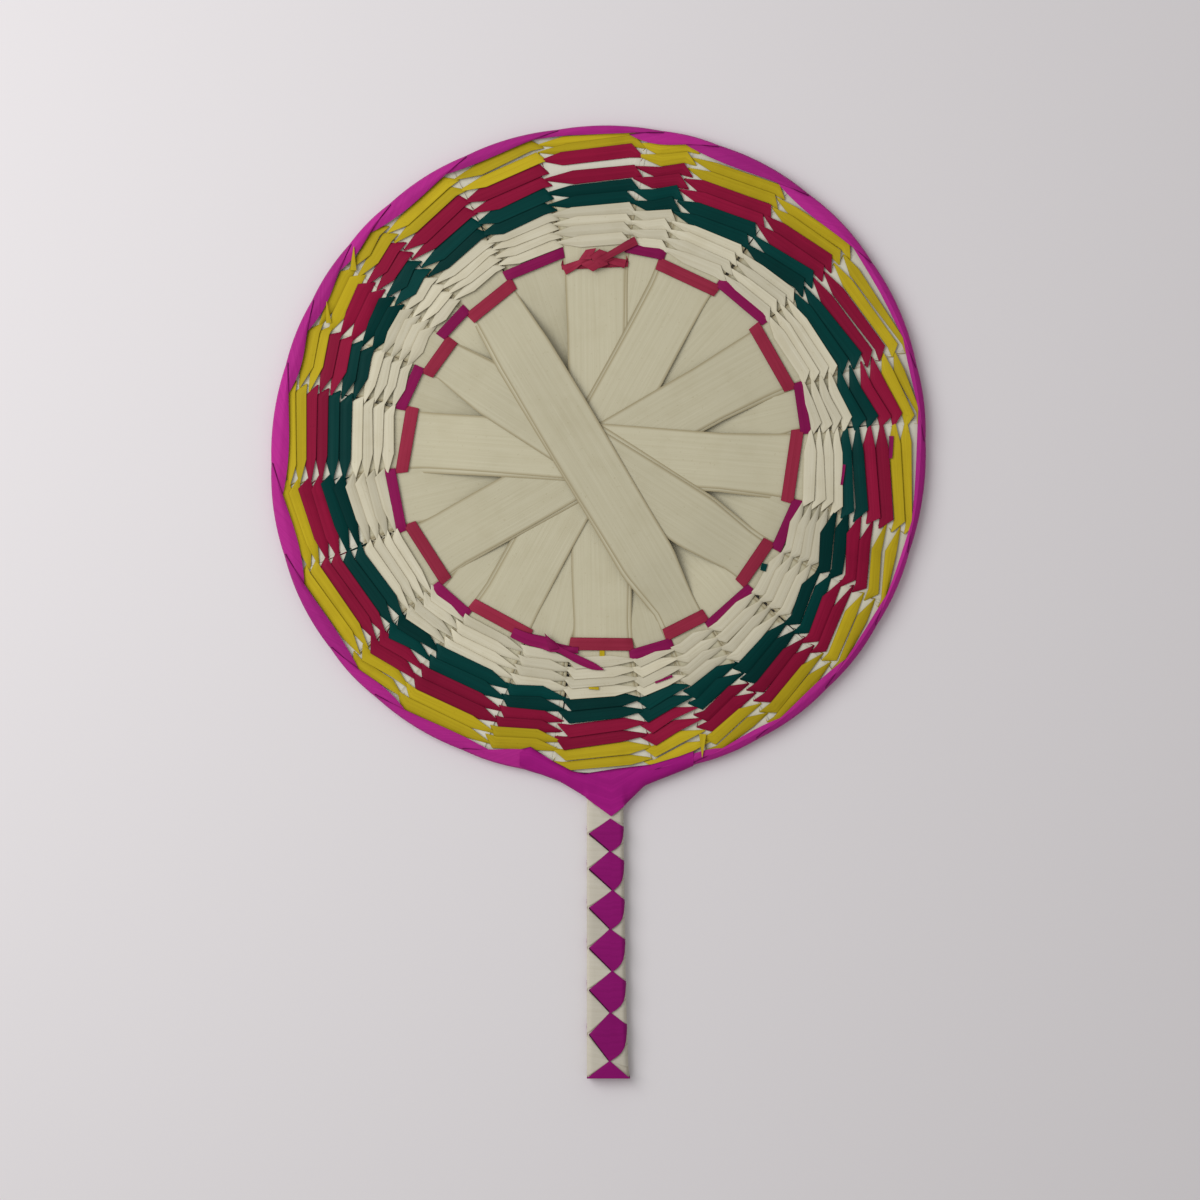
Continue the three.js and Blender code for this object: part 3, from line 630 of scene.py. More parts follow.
def strand_points(radius, pitch, lean, shifts, first_side, rolls, pulls, rng):
    """Rows of points of a strand, and the tone of each row. Its bars shift in or out by column."""
    across = np.linspace(0, 1, STRAND_ACROSS)
    from_middle = 2 * across - 1
    pinched = PINCH_SHARE * from_middle - PINCH_PLACE - PINCH_LEAN * lean
    rows = []
    tones = []
    for k in range(COLUMN_COUNT):
        begin, _, finish = column(k)
        side = first_side if k % 2 == 0 else -first_side
        length = math.radians(finish - begin) * radius
        start = min(START_TAPER * rng.uniform(*START_RANGE) / length, MOST_START)
        end = min(END_TAPER * rng.uniform(*END_RANGE) / length, MOST_END)
        overrun = TIP_OVERRUN * rng.uniform(*OVERRUN_RANGE) / length
        inner, outer = bar_corners(lean * pulls[k], rng)
        marks = np.array([-overrun, start, 1 - end, 1 + overrun])
        place = side * (inner[:, None] + (outer - inner)[:, None] * across)
        bearings = (begin + marks * (finish - begin))[:, None]
        reach = DISC_RADIUS + out_of_round(bearings) - STRAND_TO_EDGE
        stations = on_disc(bearings, np.minimum(radius + shifts[k] + pitch * place, reach), 0)
        bar = straight_rows(stations, STRETCH_ROWS)
        shares = straight_rows(marks, STRETCH_ROWS)
        from_tip = np.minimum(shares + overrun, 1 + overrun - shares) * length
        climb = LEAST_CLIMB + (1 - LEAST_CLIMB) * smooth(from_tip / BAR_CLIMB)
        height = BAR_HEIGHT + BAR_PUFF * (1 - from_middle ** 2) + BAR_ROLL * rolls[k] * from_middle
        bar[..., 2] += side * climb[:, None] * (height + rng.uniform(-BAR_PLAY, BAR_PLAY))
        rows += [on_disc(begin, radius + pitch * side * pinched, 0)[None], bar]
        tones += [rng.uniform(-1, 1)] * (len(bar) + 1)
    rows.append(rows[0])
    return np.concatenate(rows), np.array(tones + tones[:1])


# %% [markdown]
# A strand isn't endless: here and there the end of a leaf sticks out, or a slip of another dye shows
# between two bars. They are small, but a weave without them looks printed. Each is a flat slip between
# two places, given as bearing, radius and height, that goes from one width to another.

# %% Loose ends
SLIP_STEPS = 13
SLIP_TONE = 0.3
LOOSE_ENDS = {
    "yellow_strand_1": [
        ((179.3, 85.0, 0.8), (179.3, 90.0, 0.8), 2.2, 2.2),
        ((180.2, 101.9, 1.8), (182.6, 101.8, 1.8), 1.3, 0.9),
    ],
    "yellow_strand_3": [((160.1, 129.0, 2.0), (161.6, 138.2, 3.9), 3.2, 0.2)],
    "yellow_strand_4": [
        ((306, 129.6, 2.0), (309.5, 135.4, 3.8), 2.8, 0.2),
        ((295, 127.2, 2.0), (298.4, 132, 3.4), 2.4, 0.2),
    ],
    "green_strand_1": [((124.7, 85.6, 1.9), (126.7, 86.8, 1.9), 2.6, 2.4)],
    "magenta_lashing": [
        ((93.6, 104.4, 1.8), (98.4, 104.2, 1.8), 1.3, 1.0),
        ((87.4, 124.4, 1.8), (91.8, 124, 1.8), 2.0, 1.4),
        ((162.2, 101.4, 1.8), (166.6, 102.2, 1.8), 1.1, 0.9),
    ],
}


def loose_ends(node):
    """The slips of leaf that stick out of a strand, each from place to place and from width to width."""
    slips = []
    for first, last, first_width, last_width in LOOSE_ENDS.get(node, []):
        share = np.linspace(0, 1, SLIP_STEPS)[:, None]
        bearing, radius, height = (first + (np.array(last) - first) * share).T
        path = on_disc(bearing, radius * MM, height * MM)
        half = (first_width + (last_width - first_width) * share) * MM / 2
        travel = path[-1] - path[0]
        across = np.array([-travel[1], travel[0], 0]) / np.hypot(*travel[:2])
        places = np.linspace(-1, 1, STRAND_ACROSS)[None, :, None]
        points = path[:, None] + across * half[:, None] * places
        slips.append(leaf_sheet("slip", points, SLIP_TONE, thickness=STRAND_THICKNESS))
    return slips


# %% [markdown]
# Four colours make the band: four pairs of cream at the inside, then two each of green, red and yellow.
# The rows aren't circles. The first ones follow the ring of lashings, then they follow the waves of the
# edge, and the last ones the inner side of the rim, which is broad in some columns and narrow in others.
# Some columns were pulled in or out as a whole, some of the outer bars are tucked further under the rim,
# and a few single bars hang loose. These are lists by column, in millimetres, as a hand follows no formula.

# %% Where the rows lie
BANDS = [("cream", 4, 4.2 * MM), ("green", 2, 5.0 * MM), ("red", 2, 4.8 * MM), ("yellow", 2, 4.4 * MM)]
PAIR_COUNT = sum(pairs for _, pairs, _ in BANDS)
RIM_WIDTHS = [3.3, 6.2, 6.8, 6.8, 4.2, 3.8, 4.2, 3.3, 3.6, 5.0, 4.4, 4.8,
              5.0, 8.4, 5.8, 5.6, 6.6, 7.4, 7.6, 6.6, 6.4, 5.2, 6.8, 5.2]
PULLED_COLUMNS = {0: 1.2, 1: 1.2, 2: -1.0, 4: -0.8, 5: 1.2, 7: -2.2, 9: 0.9, 10: 1.2, 15: 0.4,
                  16: 0.8, 17: 2.0, 18: 2.5, 19: 1.0, 20: -1.0, 21: 0.9, 22: -2.4, 23: -1.1}
TUCKED_COLUMNS = {1: 1.5, 9: 1.0, 17: 1.0, 18: 2.4}
LOOSE_BARS = {(6, 0): 0.8, (7, 0): 3.8, (8, 0): 2.2}
STEEP_BEARING = 95
PULL_MEAN = 0.85
PULL_SWING = 0.45
PULL_PLAY = 0.15
COLUMN_SHIFT = 0.4 * MM
ROW_TUCK = 1.0 * MM
NECK_SAG = 3.4 * MM
SAG_POWER = 2
RIM_POWER = 3
FOLLOW_RISE = 2.1
RING_INWARD_SHARE = 0.35

rng = np.random.default_rng(7)
middles = np.array([column(k)[1] for k in range(COLUMN_COUNT)])
rolls = rng.choice([-1.0, 1.0], COLUMN_COUNT)
steepness = np.cos(np.radians(middles - STEEP_BEARING))
pulls = PULL_MEAN + PULL_SWING * steepness + rng.uniform(-PULL_PLAY, PULL_PLAY, COLUMN_COUNT)
sways = COLUMN_SHIFT * rng.uniform(-1, 1, COLUMN_COUNT)
for k, pull in PULLED_COLUMNS.items():
    sways[k] += pull * MM
waves = out_of_round(middles)
ring_shifts = wave_sum(middles, RING_WAVES)
ring_shifts[ring_shifts < 0] *= RING_INWARD_SHARE
band_width = sum(pairs * pitch for _, pairs, pitch in BANDS)
to_rim = DISC_RADIUS + waves - np.array(RIM_WIDTHS) * MM + ROW_TUCK - WEAVE_START - band_width
for k, tuck in TUCKED_COLUMNS.items():
    to_rim[k] += tuck * MM


def column_shifts(pair_index):
    """How far the bars of a pair lie outside their circle, column by column."""
    share = pair_index / (PAIR_COUNT - 1)
    follow = min(1, FOLLOW_RISE * share)
    at_rim = share ** RIM_POWER
    shifts = (sways + waves) * follow * (1 - at_rim) + to_rim * at_rim
    shifts[NECK_COLUMN] = NECK_SAG * share ** SAG_POWER
    shifts += ring_shifts * max(0, 1 - pair_index / BANDS[0][1])
    for k in range(COLUMN_COUNT):
        shifts[k] += LOOSE_BARS.get((pair_index, k), 0) * MM
    return shifts


print("last row off its circle, mm:", (column_shifts(PAIR_COUNT - 1) / MM).round(1))

# %% [markdown]
# Now the pairs are laid from the inside out. Pairs further out lean more, because their columns are longer.
# Neighbouring bars overlap like shingles, and which edge lies on top is a matter of how the hand pulled
# that column, so a seeded draw has decided it for all pairs alike.

# %% The twined band
LEAST_LEAN = 0.3
MOST_LEAN = 1.0
band_edge = WEAVE_START
pair_index = 0
face_count = 0
for colour, pairs, pitch in BANDS:
    for pair in range(pairs):
        lean = LEAST_LEAN + (MOST_LEAN - LEAST_LEAN) * pair_index / (PAIR_COUNT - 1)
        shifts = column_shifts(pair_index)
        for strand, first_side in enumerate((1, -1)):
            rng = np.random.default_rng(1000 + 10 * pair_index + strand)
            node = f"{colour}_strand_{2 * pair + strand + 1}"
            points, tones = strand_points(
                band_edge + pitch / 2, pitch, lean, shifts, first_side, rolls, pulls, rng)
            sheet = leaf_sheet("twined_" + node, points, tones, closed=True, thickness=STRAND_THICKNESS)
            piece = join_sheets("twined_" + node, [sheet, *loose_ends(node)])
            finish = "pale_leaf" if colour == "cream" else None
            face_count += dress(piece, node, f"{colour}_leaf", finish)
        band_edge += pitch
        pair_index += 1
print("strands:", 2 * PAIR_COUNT, "faces:", face_count)

# %% [markdown]
# Inside the band two lashings hold the spokes in step: a red one over the front spokes and a magenta one
# over the back spokes, each hidden behind the other's spokes. They are flat bars that keep their width,
# except behind a knot, and they follow the ring, which isn't round. Where one bar ends and the next of the
# other colour begins they run over the border a little, so that no gap shows between them.

# %% Lashings
LASHINGS = [("red", 83.3 * MM, 5.5 * MM, 1, 0), ("magenta", 87.7 * MM, 4.6 * MM, -1, 13)]
RING_FINISHES = {"red_leaf": "faded_red_leaf", "magenta_leaf": "wine_leaf"}
LASHING_ROWS = 14
LASHING_HEIGHT = 1.0 * MM
LASHING_PUFF = 0.12 * MM
LASHING_END = 0.6
LASHING_WAVE = 0.5 * MM
LASHING_PINCH = 0.45
LASHING_OVERRUN = 1.0 * MM
LASHING_TONES = 0.6
KNOT_COLUMN_SHARE = 0.4
KNOT_COLUMN_DROP = 2.4 * MM


def lashing_points(radius, width, first_side, knot_column, rng):
    """Rows of points of a lashing, and the tone of each row."""
    across = np.linspace(-1, 1, STRAND_ACROSS)
    overrun = arc_degrees(LASHING_OVERRUN, radius)
    from_end = np.minimum(np.arange(LASHING_ROWS), np.arange(LASHING_ROWS)[::-1])
    climb = np.clip(from_end + LASHING_END, 0, 1)[:, None]
    rows = []
    tones = []
    for k in range(COLUMN_COUNT):
        begin, _, finish = column(k)
        side = first_side if k % 2 == 0 else -first_side
        ends = np.array([begin - overrun, finish + overrun])
        tilt = LASHING_WAVE * rng.uniform(-1, 1, 2)
        shown = width * (KNOT_COLUMN_SHARE if k == knot_column else 1)
        drop = KNOT_COLUMN_DROP if k == knot_column else 0
        around = radius + wave_sum(ends, RING_WAVES) - drop + tilt
        stations = on_disc(ends[:, None], around[:, None] + shown / 2 * across, 0)
        bar = straight_rows(stations, (LASHING_ROWS,))
        bar[..., 2] += side * climb * (LASHING_HEIGHT + LASHING_PUFF * (1 - across ** 2))
        passing = radius + wave_sum(begin, RING_WAVES)
        rows += [on_disc(begin, passing + LASHING_PINCH * width / 2 * across, 0)[None], bar]
        tones += [rng.uniform(-LASHING_TONES, LASHING_TONES)] * (len(bar) + 1)
    rows.append(rows[0])
    return np.concatenate(rows), np.array(tones + tones[:1])


for colour, radius, width, first_side, knot_column in LASHINGS:
    rng = np.random.default_rng(50 + first_side)
    node, slot = f"{colour}_lashing", f"{colour}_leaf"
    points, tones = lashing_points(radius, width, first_side, knot_column, rng)
    sheet = leaf_sheet(node + "_strip", points, tones, closed=True)
    piece = join_sheets(node + "_strip", [sheet, *loose_ends(node)])
    print(node, "faces:", dress(piece, node, slot, RING_FINISHES[slot]))

# %% [markdown]
# The rim is one magenta strip wound round a cane hoop, one turn to a column. It comes up narrow between two
# spokes, spreads over the front, goes round the edge and over the back, and passes in again. Each turn laps
# over the next, so the seams lie oblique, and each is broad in its middle and narrow at its ends, like a
# lens. A bevelled curve would give a smooth tube with no seams, so the turns are laid as rows round the
# rim's section, and the lap is a small lift along one side of the strip.

# %% One turn of the rim
RIM_PASS_DEPTH = 2.2 * MM
RIM_PASS_HALF = 0.4
RIM_END_SHARE = 0.55
RIM_LEAST_WIDTH = 2.5 * MM
RIM_PEAK_POWER = 0.85
RIM_BULGE = 0.5 * MM
RIM_LAP = 1.4
RIM_LEAN = 2.6
RIM_LIFT = 0.55 * MM
LIFTED_FROM = 2.2
SHOULDER_DEPTH = 0.7 * MM
FRONT_SHOULDER = 0.8
BACK_SHOULDER = 1.2
RIM_ACROSS = 13
RIM_HEIGHTS = (0, 2.1, 2.6, 3.2, 2.3, 0.8, -0.8, -2.2, -2.9, -2.4, -2.1, 0)
RIM_STRETCH_ROWS = (2, 3, 4, 4, 3, 3, 3, 3, 4, 4, 3)


def on_rim(bearing, depth):
    """Points so far inside the fan's edge, on the middle plane."""
    return on_disc(bearing, DISC_RADIUS + out_of_round(bearing) - depth, 0)


def rim_turn(begin, finish, width):
    """Rows of one turn, from its pass between two spokes over the front and back to the next pass."""
    v = np.linspace(0, 1, RIM_ACROSS)
    end_width = max(RIM_LEAST_WIDTH, RIM_END_SHARE * width)
    swell = np.sin(math.pi * v ** RIM_PEAK_POWER)
    depth = end_width + (max(width, RIM_LEAST_WIDTH) - end_width) * swell
    bulge = RIM_BULGE * (2 * v - 1) ** 2
    bearing = begin + (finish - begin + RIM_LAP) * v
    back_bearing = bearing - RIM_LAP
    pass_in, pass_out = (on_rim(end + RIM_PASS_HALF * (2 * v - 1), RIM_PASS_DEPTH)
                         for end in (begin, finish))
    front_inner = on_rim(bearing - RIM_LEAN, depth)
    shoulder = on_rim(bearing + RIM_LEAN * FRONT_SHOULDER, bulge + SHOULDER_DEPTH)
    outer = on_rim(bearing + RIM_LEAN, bulge)
    back_outer = on_rim(back_bearing + RIM_LEAN, bulge)
    back_shoulder = on_rim(back_bearing + RIM_LEAN * BACK_SHOULDER, bulge + SHOULDER_DEPTH)
    back_inner = on_rim(back_bearing + RIM_LEAN, depth[::-1])
    front = [pass_in, pass_in, front_inner, (front_inner + shoulder) / 2, shoulder, outer]
    back = [back_outer, back_shoulder, (back_inner + back_shoulder) / 2, back_inner, pass_out, pass_out]
    stations = np.array(front + back)
    heights = np.array(RIM_HEIGHTS)[:, None]
    lifted = np.sign(heights) * (np.abs(heights) > LIFTED_FROM)
    stations[..., 2] += heights * MM + lifted * RIM_LIFT * (v - 0.5)
    return straight_rows(stations, RIM_STRETCH_ROWS)


# %% [markdown]
# The winding starts and ends at the collar, so the neck's column has no turn. All turns are rows of one
# sheet, because the strip is one, and each turn has a tone of its own, as if it caught the light alone.

# %% Rim binding
RIM_TO_COLLAR = 2.5
RIM_TONES = 0.8
rows = []
tones = []
rng = np.random.default_rng(21)
for turn in range(1, COLUMN_COUNT):
    begin, _, finish = column(NECK_COLUMN + turn)
    begin += RIM_TO_COLLAR if turn == 1 else 0
    finish -= RIM_TO_COLLAR if turn == COLUMN_COUNT - 1 else 0
    width = RIM_WIDTHS[(NECK_COLUMN + turn) % COLUMN_COUNT] * MM
    turn_rows = rim_turn(begin, finish, width)
    rows.append(turn_rows)
    tones += [rng.uniform(-RIM_TONES, RIM_TONES)] * len(turn_rows)
sheet = leaf_sheet("rim_winding", np.concatenate(rows), np.array(tones))
# The rim takes the lighter magenta: painted sheen.
print("rim faces:", dress(sheet, "rim_binding", "magenta_leaf", "sheen_lit_rim_leaf"))

# %% [markdown]
# The handle is a flat stick plaited over with two strips. The cream one lies in flaps that come from the
# left edge, each lapping over the magenta strip below it, and the magenta one shows between them as six
# diamonds that round over the right edge. A plait like this could be drawn as a pattern on a box, but its
# laps catch the light, so each flap and each diamond is a sheet of its own over a cream sleeve. The front
# is worked out in millimetres from the middle of the handle, and the back is the front turned over.

# %% Where the plait lies
HANDLE_MIDDLE = 3.8 * MM
HANDLE_HALF = 9.2 * MM
HANDLE_HALF_DEPTH = 3.4 * MM
HANDLE_END = cad_box[0][1]
CAP_FLAP = 7.5 * MM
PLAIT_TO_COLLAR = 1 * MM
DIAMOND_HEIGHTS = [13.6, 16.4, 16.3, 17.7, 17.4, 20.3]
DIAMOND_COUNT = len(DIAMOND_HEIGHTS)
DIAMOND_LEFT = -8.2 * MM
CROSS_X = np.array([2.6, 2.2, 3.4, 2.0, 2.8, 1.6, 0.7]) * MM
plait_low = HANDLE_END + CAP_FLAP
plait_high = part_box("handle_wrap_magenta")[1].y - PLAIT_TO_COLLAR
shares = np.concatenate([[0], np.cumsum(DIAMOND_HEIGHTS)]) / sum(DIAMOND_HEIGHTS)
crossings = plait_high + (plait_low - plait_high) * shares
print("diamonds:", DIAMOND_COUNT, "from", round(plait_high, 4), "to", round(plait_low, 4))

# %% [markdown]
# The sleeve is a tube with a flat, round-cornered section. It starts as a grid too, rolled up so that its
# long sides meet, because then the fibres of its map run round the handle as those of a wound strip do.
# The handle narrows towards the neck, most of it near the end, so every point of it goes through one
# helper that does the narrowing.

# %% Cream sleeve
SLEEVE_INSET = 0.75 * MM
SLEEVE_FROM_END = 0.5 * MM
SLEEVE_AROUND = 49
SLEEVE_STEPS = 40
SLEEVE_TONE = -0.2
NECK_NARROWING = 1.4 * MM
NARROWING_POWER = 0.45
EDGE_ROUND = 2.2 * MM
FLATNESS = 1.6


def flat_ring(half_width, half_depth, corner, steps):
    """Points round a flat, round-cornered section, from the middle of the back edge on."""
    angle = np.linspace(-math.pi / 2, 1.5 * math.pi, steps)
    cos, sin = np.cos(angle), np.sin(angle)
    x = (half_width - corner) * np.sign(cos) * np.minimum(1, FLATNESS * np.abs(cos))
    z = (half_depth - corner) * np.sign(sin) * np.minimum(1, FLATNESS * np.abs(sin))
    return x + corner * cos, z + corner * sin


def handle_points(x, y, z):
    """Points from offsets across the handle, places along the fan and heights over the middle plane."""
    up = np.clip((y - HANDLE_END) / (plait_high - HANDLE_END), 0, None)
    narrowing = NECK_NARROWING * up ** NARROWING_POWER
    across = HANDLE_MIDDLE + x - narrowing * (1 + x / HANDLE_HALF)
    return np.stack(np.broadcast_arrays(across, y, HUB[2] + z), axis=-1)


sleeve_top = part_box("handle_wrap_cream")[1].y
half_width, half_depth = HANDLE_HALF - SLEEVE_INSET / 2, HANDLE_HALF_DEPTH - SLEEVE_INSET
x, z = flat_ring(half_width, half_depth, EDGE_ROUND, SLEEVE_AROUND)
y = np.linspace(HANDLE_END + SLEEVE_FROM_END, sleeve_top, SLEEVE_STEPS)
sleeve_points = handle_points(x[:, None], y[None], z[:, None])
cream_sheets = [leaf_sheet("sleeve", sleeve_points, SLEEVE_TONE, closed=True)]
print("sleeve from", round(y[0], 4), "to", round(y[-1], 4))

# %% [markdown]
# A flap is a triangle: two corners on the left edge and one at the crossing in the middle. Its upper side
# tucks under the diamond above, and its lower side lies over the diamond below, so its height rises from
# one side to the other. On the right edge smaller triangles fill the space between the diamonds.

# %% One flap
BACK_SHARE = 0.92
FLAP_LOW = 2.6 * MM
FLAP_HIGH = 2.75 * MM
FLAP_RISE = 1.2
FLAP_THICKNESS = 0.26 * MM
FLAP_ALONG = 11
FLAP_ACROSS = 13
FLAP_REACH = 0.985
EDGE_DROP = 2.0 * MM
EDGE_DROP_POWER = 2.5
CORNER_SHARE = 0.45
CORNER_OVER_NECK = 9 * MM
CORNER_OVER_END = 0.6 * MM


def over_edge(x, height):
    """Height of a sheet that bends down over the handle's long edges."""
    past = np.clip((np.abs(x) - (HANDLE_HALF - EDGE_ROUND)) / EDGE_ROUND, 0, 1)
    return height - EDGE_DROP * past ** EDGE_DROP_POWER


def triangle_flap(edge_x, top_y, tip, low_y, heights, tone, back):
    """A sheet from an edge to a tip, between two places on the edge."""
    along = np.linspace(0, 1, FLAP_ALONG)[:, None]
    across = np.linspace(0, 1, FLAP_ACROSS)[None]
    edge_y = top_y + (low_y - top_y) * across
    x = edge_x + (tip[0] - edge_x) * along + 0 * across
    y = edge_y + (tip[1] - edge_y) * along * FLAP_REACH
    height = over_edge(x, heights[0] + (heights[1] - heights[0]) * smooth(across * FLAP_RISE))
    if back:
        x, height = -x, -BACK_SHARE * height
    return leaf_sheet("flap", handle_points(x, y, height), tone, thickness=FLAP_THICKNESS)


def left_corner(n):
    """Where the left corner of a diamond lies along the handle, also of the ones hidden at the ends."""
    if n < 0:
        return crossings[0] + CORNER_OVER_NECK
    if n >= DIAMOND_COUNT:
        return HANDLE_END + CORNER_OVER_END
    return crossings[n] * (1 - CORNER_SHARE) + crossings[n + 1] * CORNER_SHARE


# %% [markdown]
# On each face there is one flap more than there are diamonds, on the left edge and on the right. The
# sleeve and all the flaps come from one strip, so they are joined into one piece.

# %% Cream flaps
FLAP_INSET = 0.1 * MM
RIGHT_FLAP_INSET = 4 * MM
LEFT_TONES = (-0.7, 0.7)
RIGHT_TONES = (-0.9, 0.2)
edge_x = HANDLE_HALF - FLAP_INSET
rng = np.random.default_rng(31)
for back in (False, True):
    for n in range(DIAMOND_COUNT + 1):
        tip = (CROSS_X[n], crossings[n])
        top_y, low_y = left_corner(n - 1), left_corner(n)
        tone = rng.uniform(*LEFT_TONES)
        left = triangle_flap(-edge_x, top_y, tip, low_y, (FLAP_LOW, FLAP_HIGH), tone, back)
        tone = rng.uniform(*RIGHT_TONES)
        top_y, low_y = top_y - RIGHT_FLAP_INSET, low_y + RIGHT_FLAP_INSET
        right = triangle_flap(edge_x, top_y, tip, low_y, (FLAP_LOW, FLAP_LOW), tone, back)
        cream_sheets += [left, right]
sheet_count = len(cream_sheets)
plait = join_sheets("plait_cream", cream_sheets)
face_count = dress(plait, "handle_wrap_cream", "cream_leaf", "handle_leaf")
print("cream sheets:", sheet_count, "faces:", face_count)

# %% [markdown]
# A diamond is laid from its left corner to the right edge: rows of points between its upper and lower side.
# It stands highest along its lower side, where the strip is folded. Along the fold on the lower left a dark
# line of painted shade is given as an edge, and it sets the diamond off from the flap below. Past the right
# edge the sheet bends down round the handle.

# %% Magenta diamonds
DIAMOND_HEIGHT = 2.85 * MM
DIAMOND_FOLD = 0.45 * MM
DIAMOND_PUFF = 0.15 * MM
DIAMOND_LAP = 0.35 * MM
DIAMOND_ALONG = 33
DIAMOND_ACROSS = 25
TIP_CROWDING = 1.6
UPPER_SIDE_DROP = 0.26
LEFT_CORNER_HEIGHT = 0.3 * MM
FOLD_LINE = 0.75 * MM
FOLD_SOFT = 1.0 * MM
DIAMOND_TONES = 0.4
ROUND_SIDE_AT = np.array([0, 0.4, 0.65, 0.82, 0.93, 1])
ROUND_SIDE_RISE = np.array([0, 0.1, 0.18, 0.28, 0.42, 0.68])


def diamond(n, tone, back):
    """The sheet of one diamond, counted from the neck."""
    along = 1 - (1 - np.linspace(0, 1, DIAMOND_ALONG)[:, None]) ** TIP_CROWDING
    across = np.linspace(0, 1, DIAMOND_ACROSS)[None]
    x = DIAMOND_LEFT + (HANDLE_HALF - DIAMOND_LEFT) * along + 0 * across
    top_share, low_share = (CROSS_X[n:n + 2] - DIAMOND_LEFT) / (HANDLE_HALF - DIAMOND_LEFT)
    top, low = crossings[n] + DIAMOND_LAP, crossings[n + 1] - DIAMOND_LAP
    corner = left_corner(n)
    upper = np.interp(along, [0, top_share, 1], [corner, top, top + UPPER_SIDE_DROP * (low - top)])
    past = low_share + (1 - low_share) * ROUND_SIDE_AT
    round_side = low + (top - low) * ROUND_SIDE_RISE
    lower = np.interp(along, [0, *past], [corner - LEFT_CORNER_HEIGHT, *round_side])
    y = upper + (lower - upper) * across
    height = DIAMOND_HEIGHT + DIAMOND_FOLD * smooth(across) + DIAMOND_PUFF * np.sin(math.pi * across)
    z = over_edge(x, height)
    if back:
        x, z = -x, -BACK_SHARE * z
    # Painted shade: a dark line along the fold on the lower left, where the gap to the flap is in shadow.
    fold_shade = np.where(along < low_share, 1 - (y - lower - FOLD_LINE) / FOLD_SOFT, 0)
    return leaf_sheet("diamond", handle_points(x, y, z), tone, edge=fold_shade)


magenta_sheets = [diamond(n, rng.uniform(-DIAMOND_TONES, DIAMOND_TONES), back)
                  for back in (False, True) for n in range(DIAMOND_COUNT)]
sheet_count = len(magenta_sheets)
plait = join_sheets("plait_magenta", magenta_sheets)
face_count = dress(plait, "handle_wrap_magenta", "magenta_leaf", "dark_magenta_leaf")
print("diamonds made:", sheet_count, "faces:", face_count)

# %% [markdown]
# At the neck a broad magenta strip is wrapped round the hoop and the stick. Seen from the front it is a
# band that runs up into the rim at either side and comes to a point on the handle. Its upper and lower
# outline are two lists of points, in millimetres across and along the fan. Between them the sheet arches:
# out at the sides it comes down again to the middle plane, and on the handle it stays up. The back is the
# front turned over, a little flatter, and one sheet makes both: it goes down the front and up the back.

# %% Neck collar
COLLAR_TOP_LINE = [(-34, -64), (-29.4, -62.8), (-19.4, -69.2), (-11.6, -73.2), (-6.2, -74.2),
                   (7.5, -72), (22, -70.4), (34, -66.9), (40, -64.6)]
COLLAR_LOW_LINE = [(-34, -71.7), (-30, -73.1), (-24.3, -74.8), (-16.9, -77.6), (-10.6, -81.3),
                   (-6, -84.2), (5, -92.3), (10.4, -88.0), (15.3, -83.2), (19.2, -79.4),
                   (25, -77.0), (31, -74.7), (36, -72.7), (40, -70.9)]
COLLAR_DEPTH = 3.3 * MM
COLLAR_COLUMNS = 81
COLLAR_DOWN = np.array([0, 0.08, 0.2, 0.4, 0.6, 0.78, 0.9, 0.97, 1])
COLLAR_THICKNESS = 0.2 * MM
COLLAR_TONE = 0.1
COLLAR_PAST_HANDLE = 1 * MM
COLLAR_SOFT = 1 * MM
WING_SECTION = np.array([0.55, 0.85, 0.98, 1, 0.97, 0.86, 0.66, 0.4, 0.02])
NECK_SECTION = np.array([0.55, 0.85, 0.98, 1, 1.02, 1.03, 1.04, 1.04, 1.04])
FOLD_SIZE = 0.14 * MM
FOLDS_ALONG = 700
FOLDS_ACROSS = 190

collar_x = np.linspace(COLLAR_TOP_LINE[0][0], COLLAR_TOP_LINE[-1][0], COLLAR_COLUMNS) * MM
top_edge = np.interp(collar_x / MM, *zip(*COLLAR_TOP_LINE)) * MM
low_edge = np.interp(collar_x / MM, *zip(*COLLAR_LOW_LINE)) * MM
collar_x = collar_x[:, None]
collar_y = top_edge[:, None] + (low_edge - top_edge)[:, None] * COLLAR_DOWN
neck_half = HANDLE_HALF - NECK_NARROWING
from_middle = np.abs(collar_x - HANDLE_MIDDLE + NECK_NARROWING)
on_handle = smooth((neck_half + COLLAR_PAST_HANDLE - from_middle) / COLLAR_SOFT)
section = WING_SECTION + (NECK_SECTION - WING_SECTION) * on_handle
folds = FOLD_SIZE * np.sin(collar_y * FOLDS_ALONG + collar_x * FOLDS_ACROSS) * section
collar_z = HUB[2] + COLLAR_DEPTH * section + folds
front = np.stack(np.broadcast_arrays(collar_x, collar_y, collar_z), axis=-1)
back = front[:, ::-1] * (1, 1, -BACK_SHARE) + (0, 0, (1 + BACK_SHARE) * HUB[2])
both_faces = np.concatenate([front, back], axis=1)
collar = leaf_sheet("neck_wrap", both_faces, COLLAR_TONE, thickness=COLLAR_THICKNESS)
print("collar faces:", dress(collar, "neck_collar", "magenta_leaf"))

# %% [markdown]
# The end of the handle is closed by the last of the magenta strip, folded over so that it shows as a flat
# end and a triangle on each face. This is quick by hand: a plane is stood at the end of the handle, its
# front and back edges are extruded along the faces, and each extruded edge is merged to a point.

# %% Handle end
CAP_HALF_DEPTH = 3.2 * MM
CAP_TIP_X = 0.5 * MM
CAP_FROM_END = 0.2 * MM
CAP_THICKNESS = 0.35 * MM
CAP_BEVEL = 0.12 * MM
CAP_BEVEL_STEPS = 2
CAP_CUTS = 6
ON_FACE_SHARE = 0.9
AT_END = 1 * MM


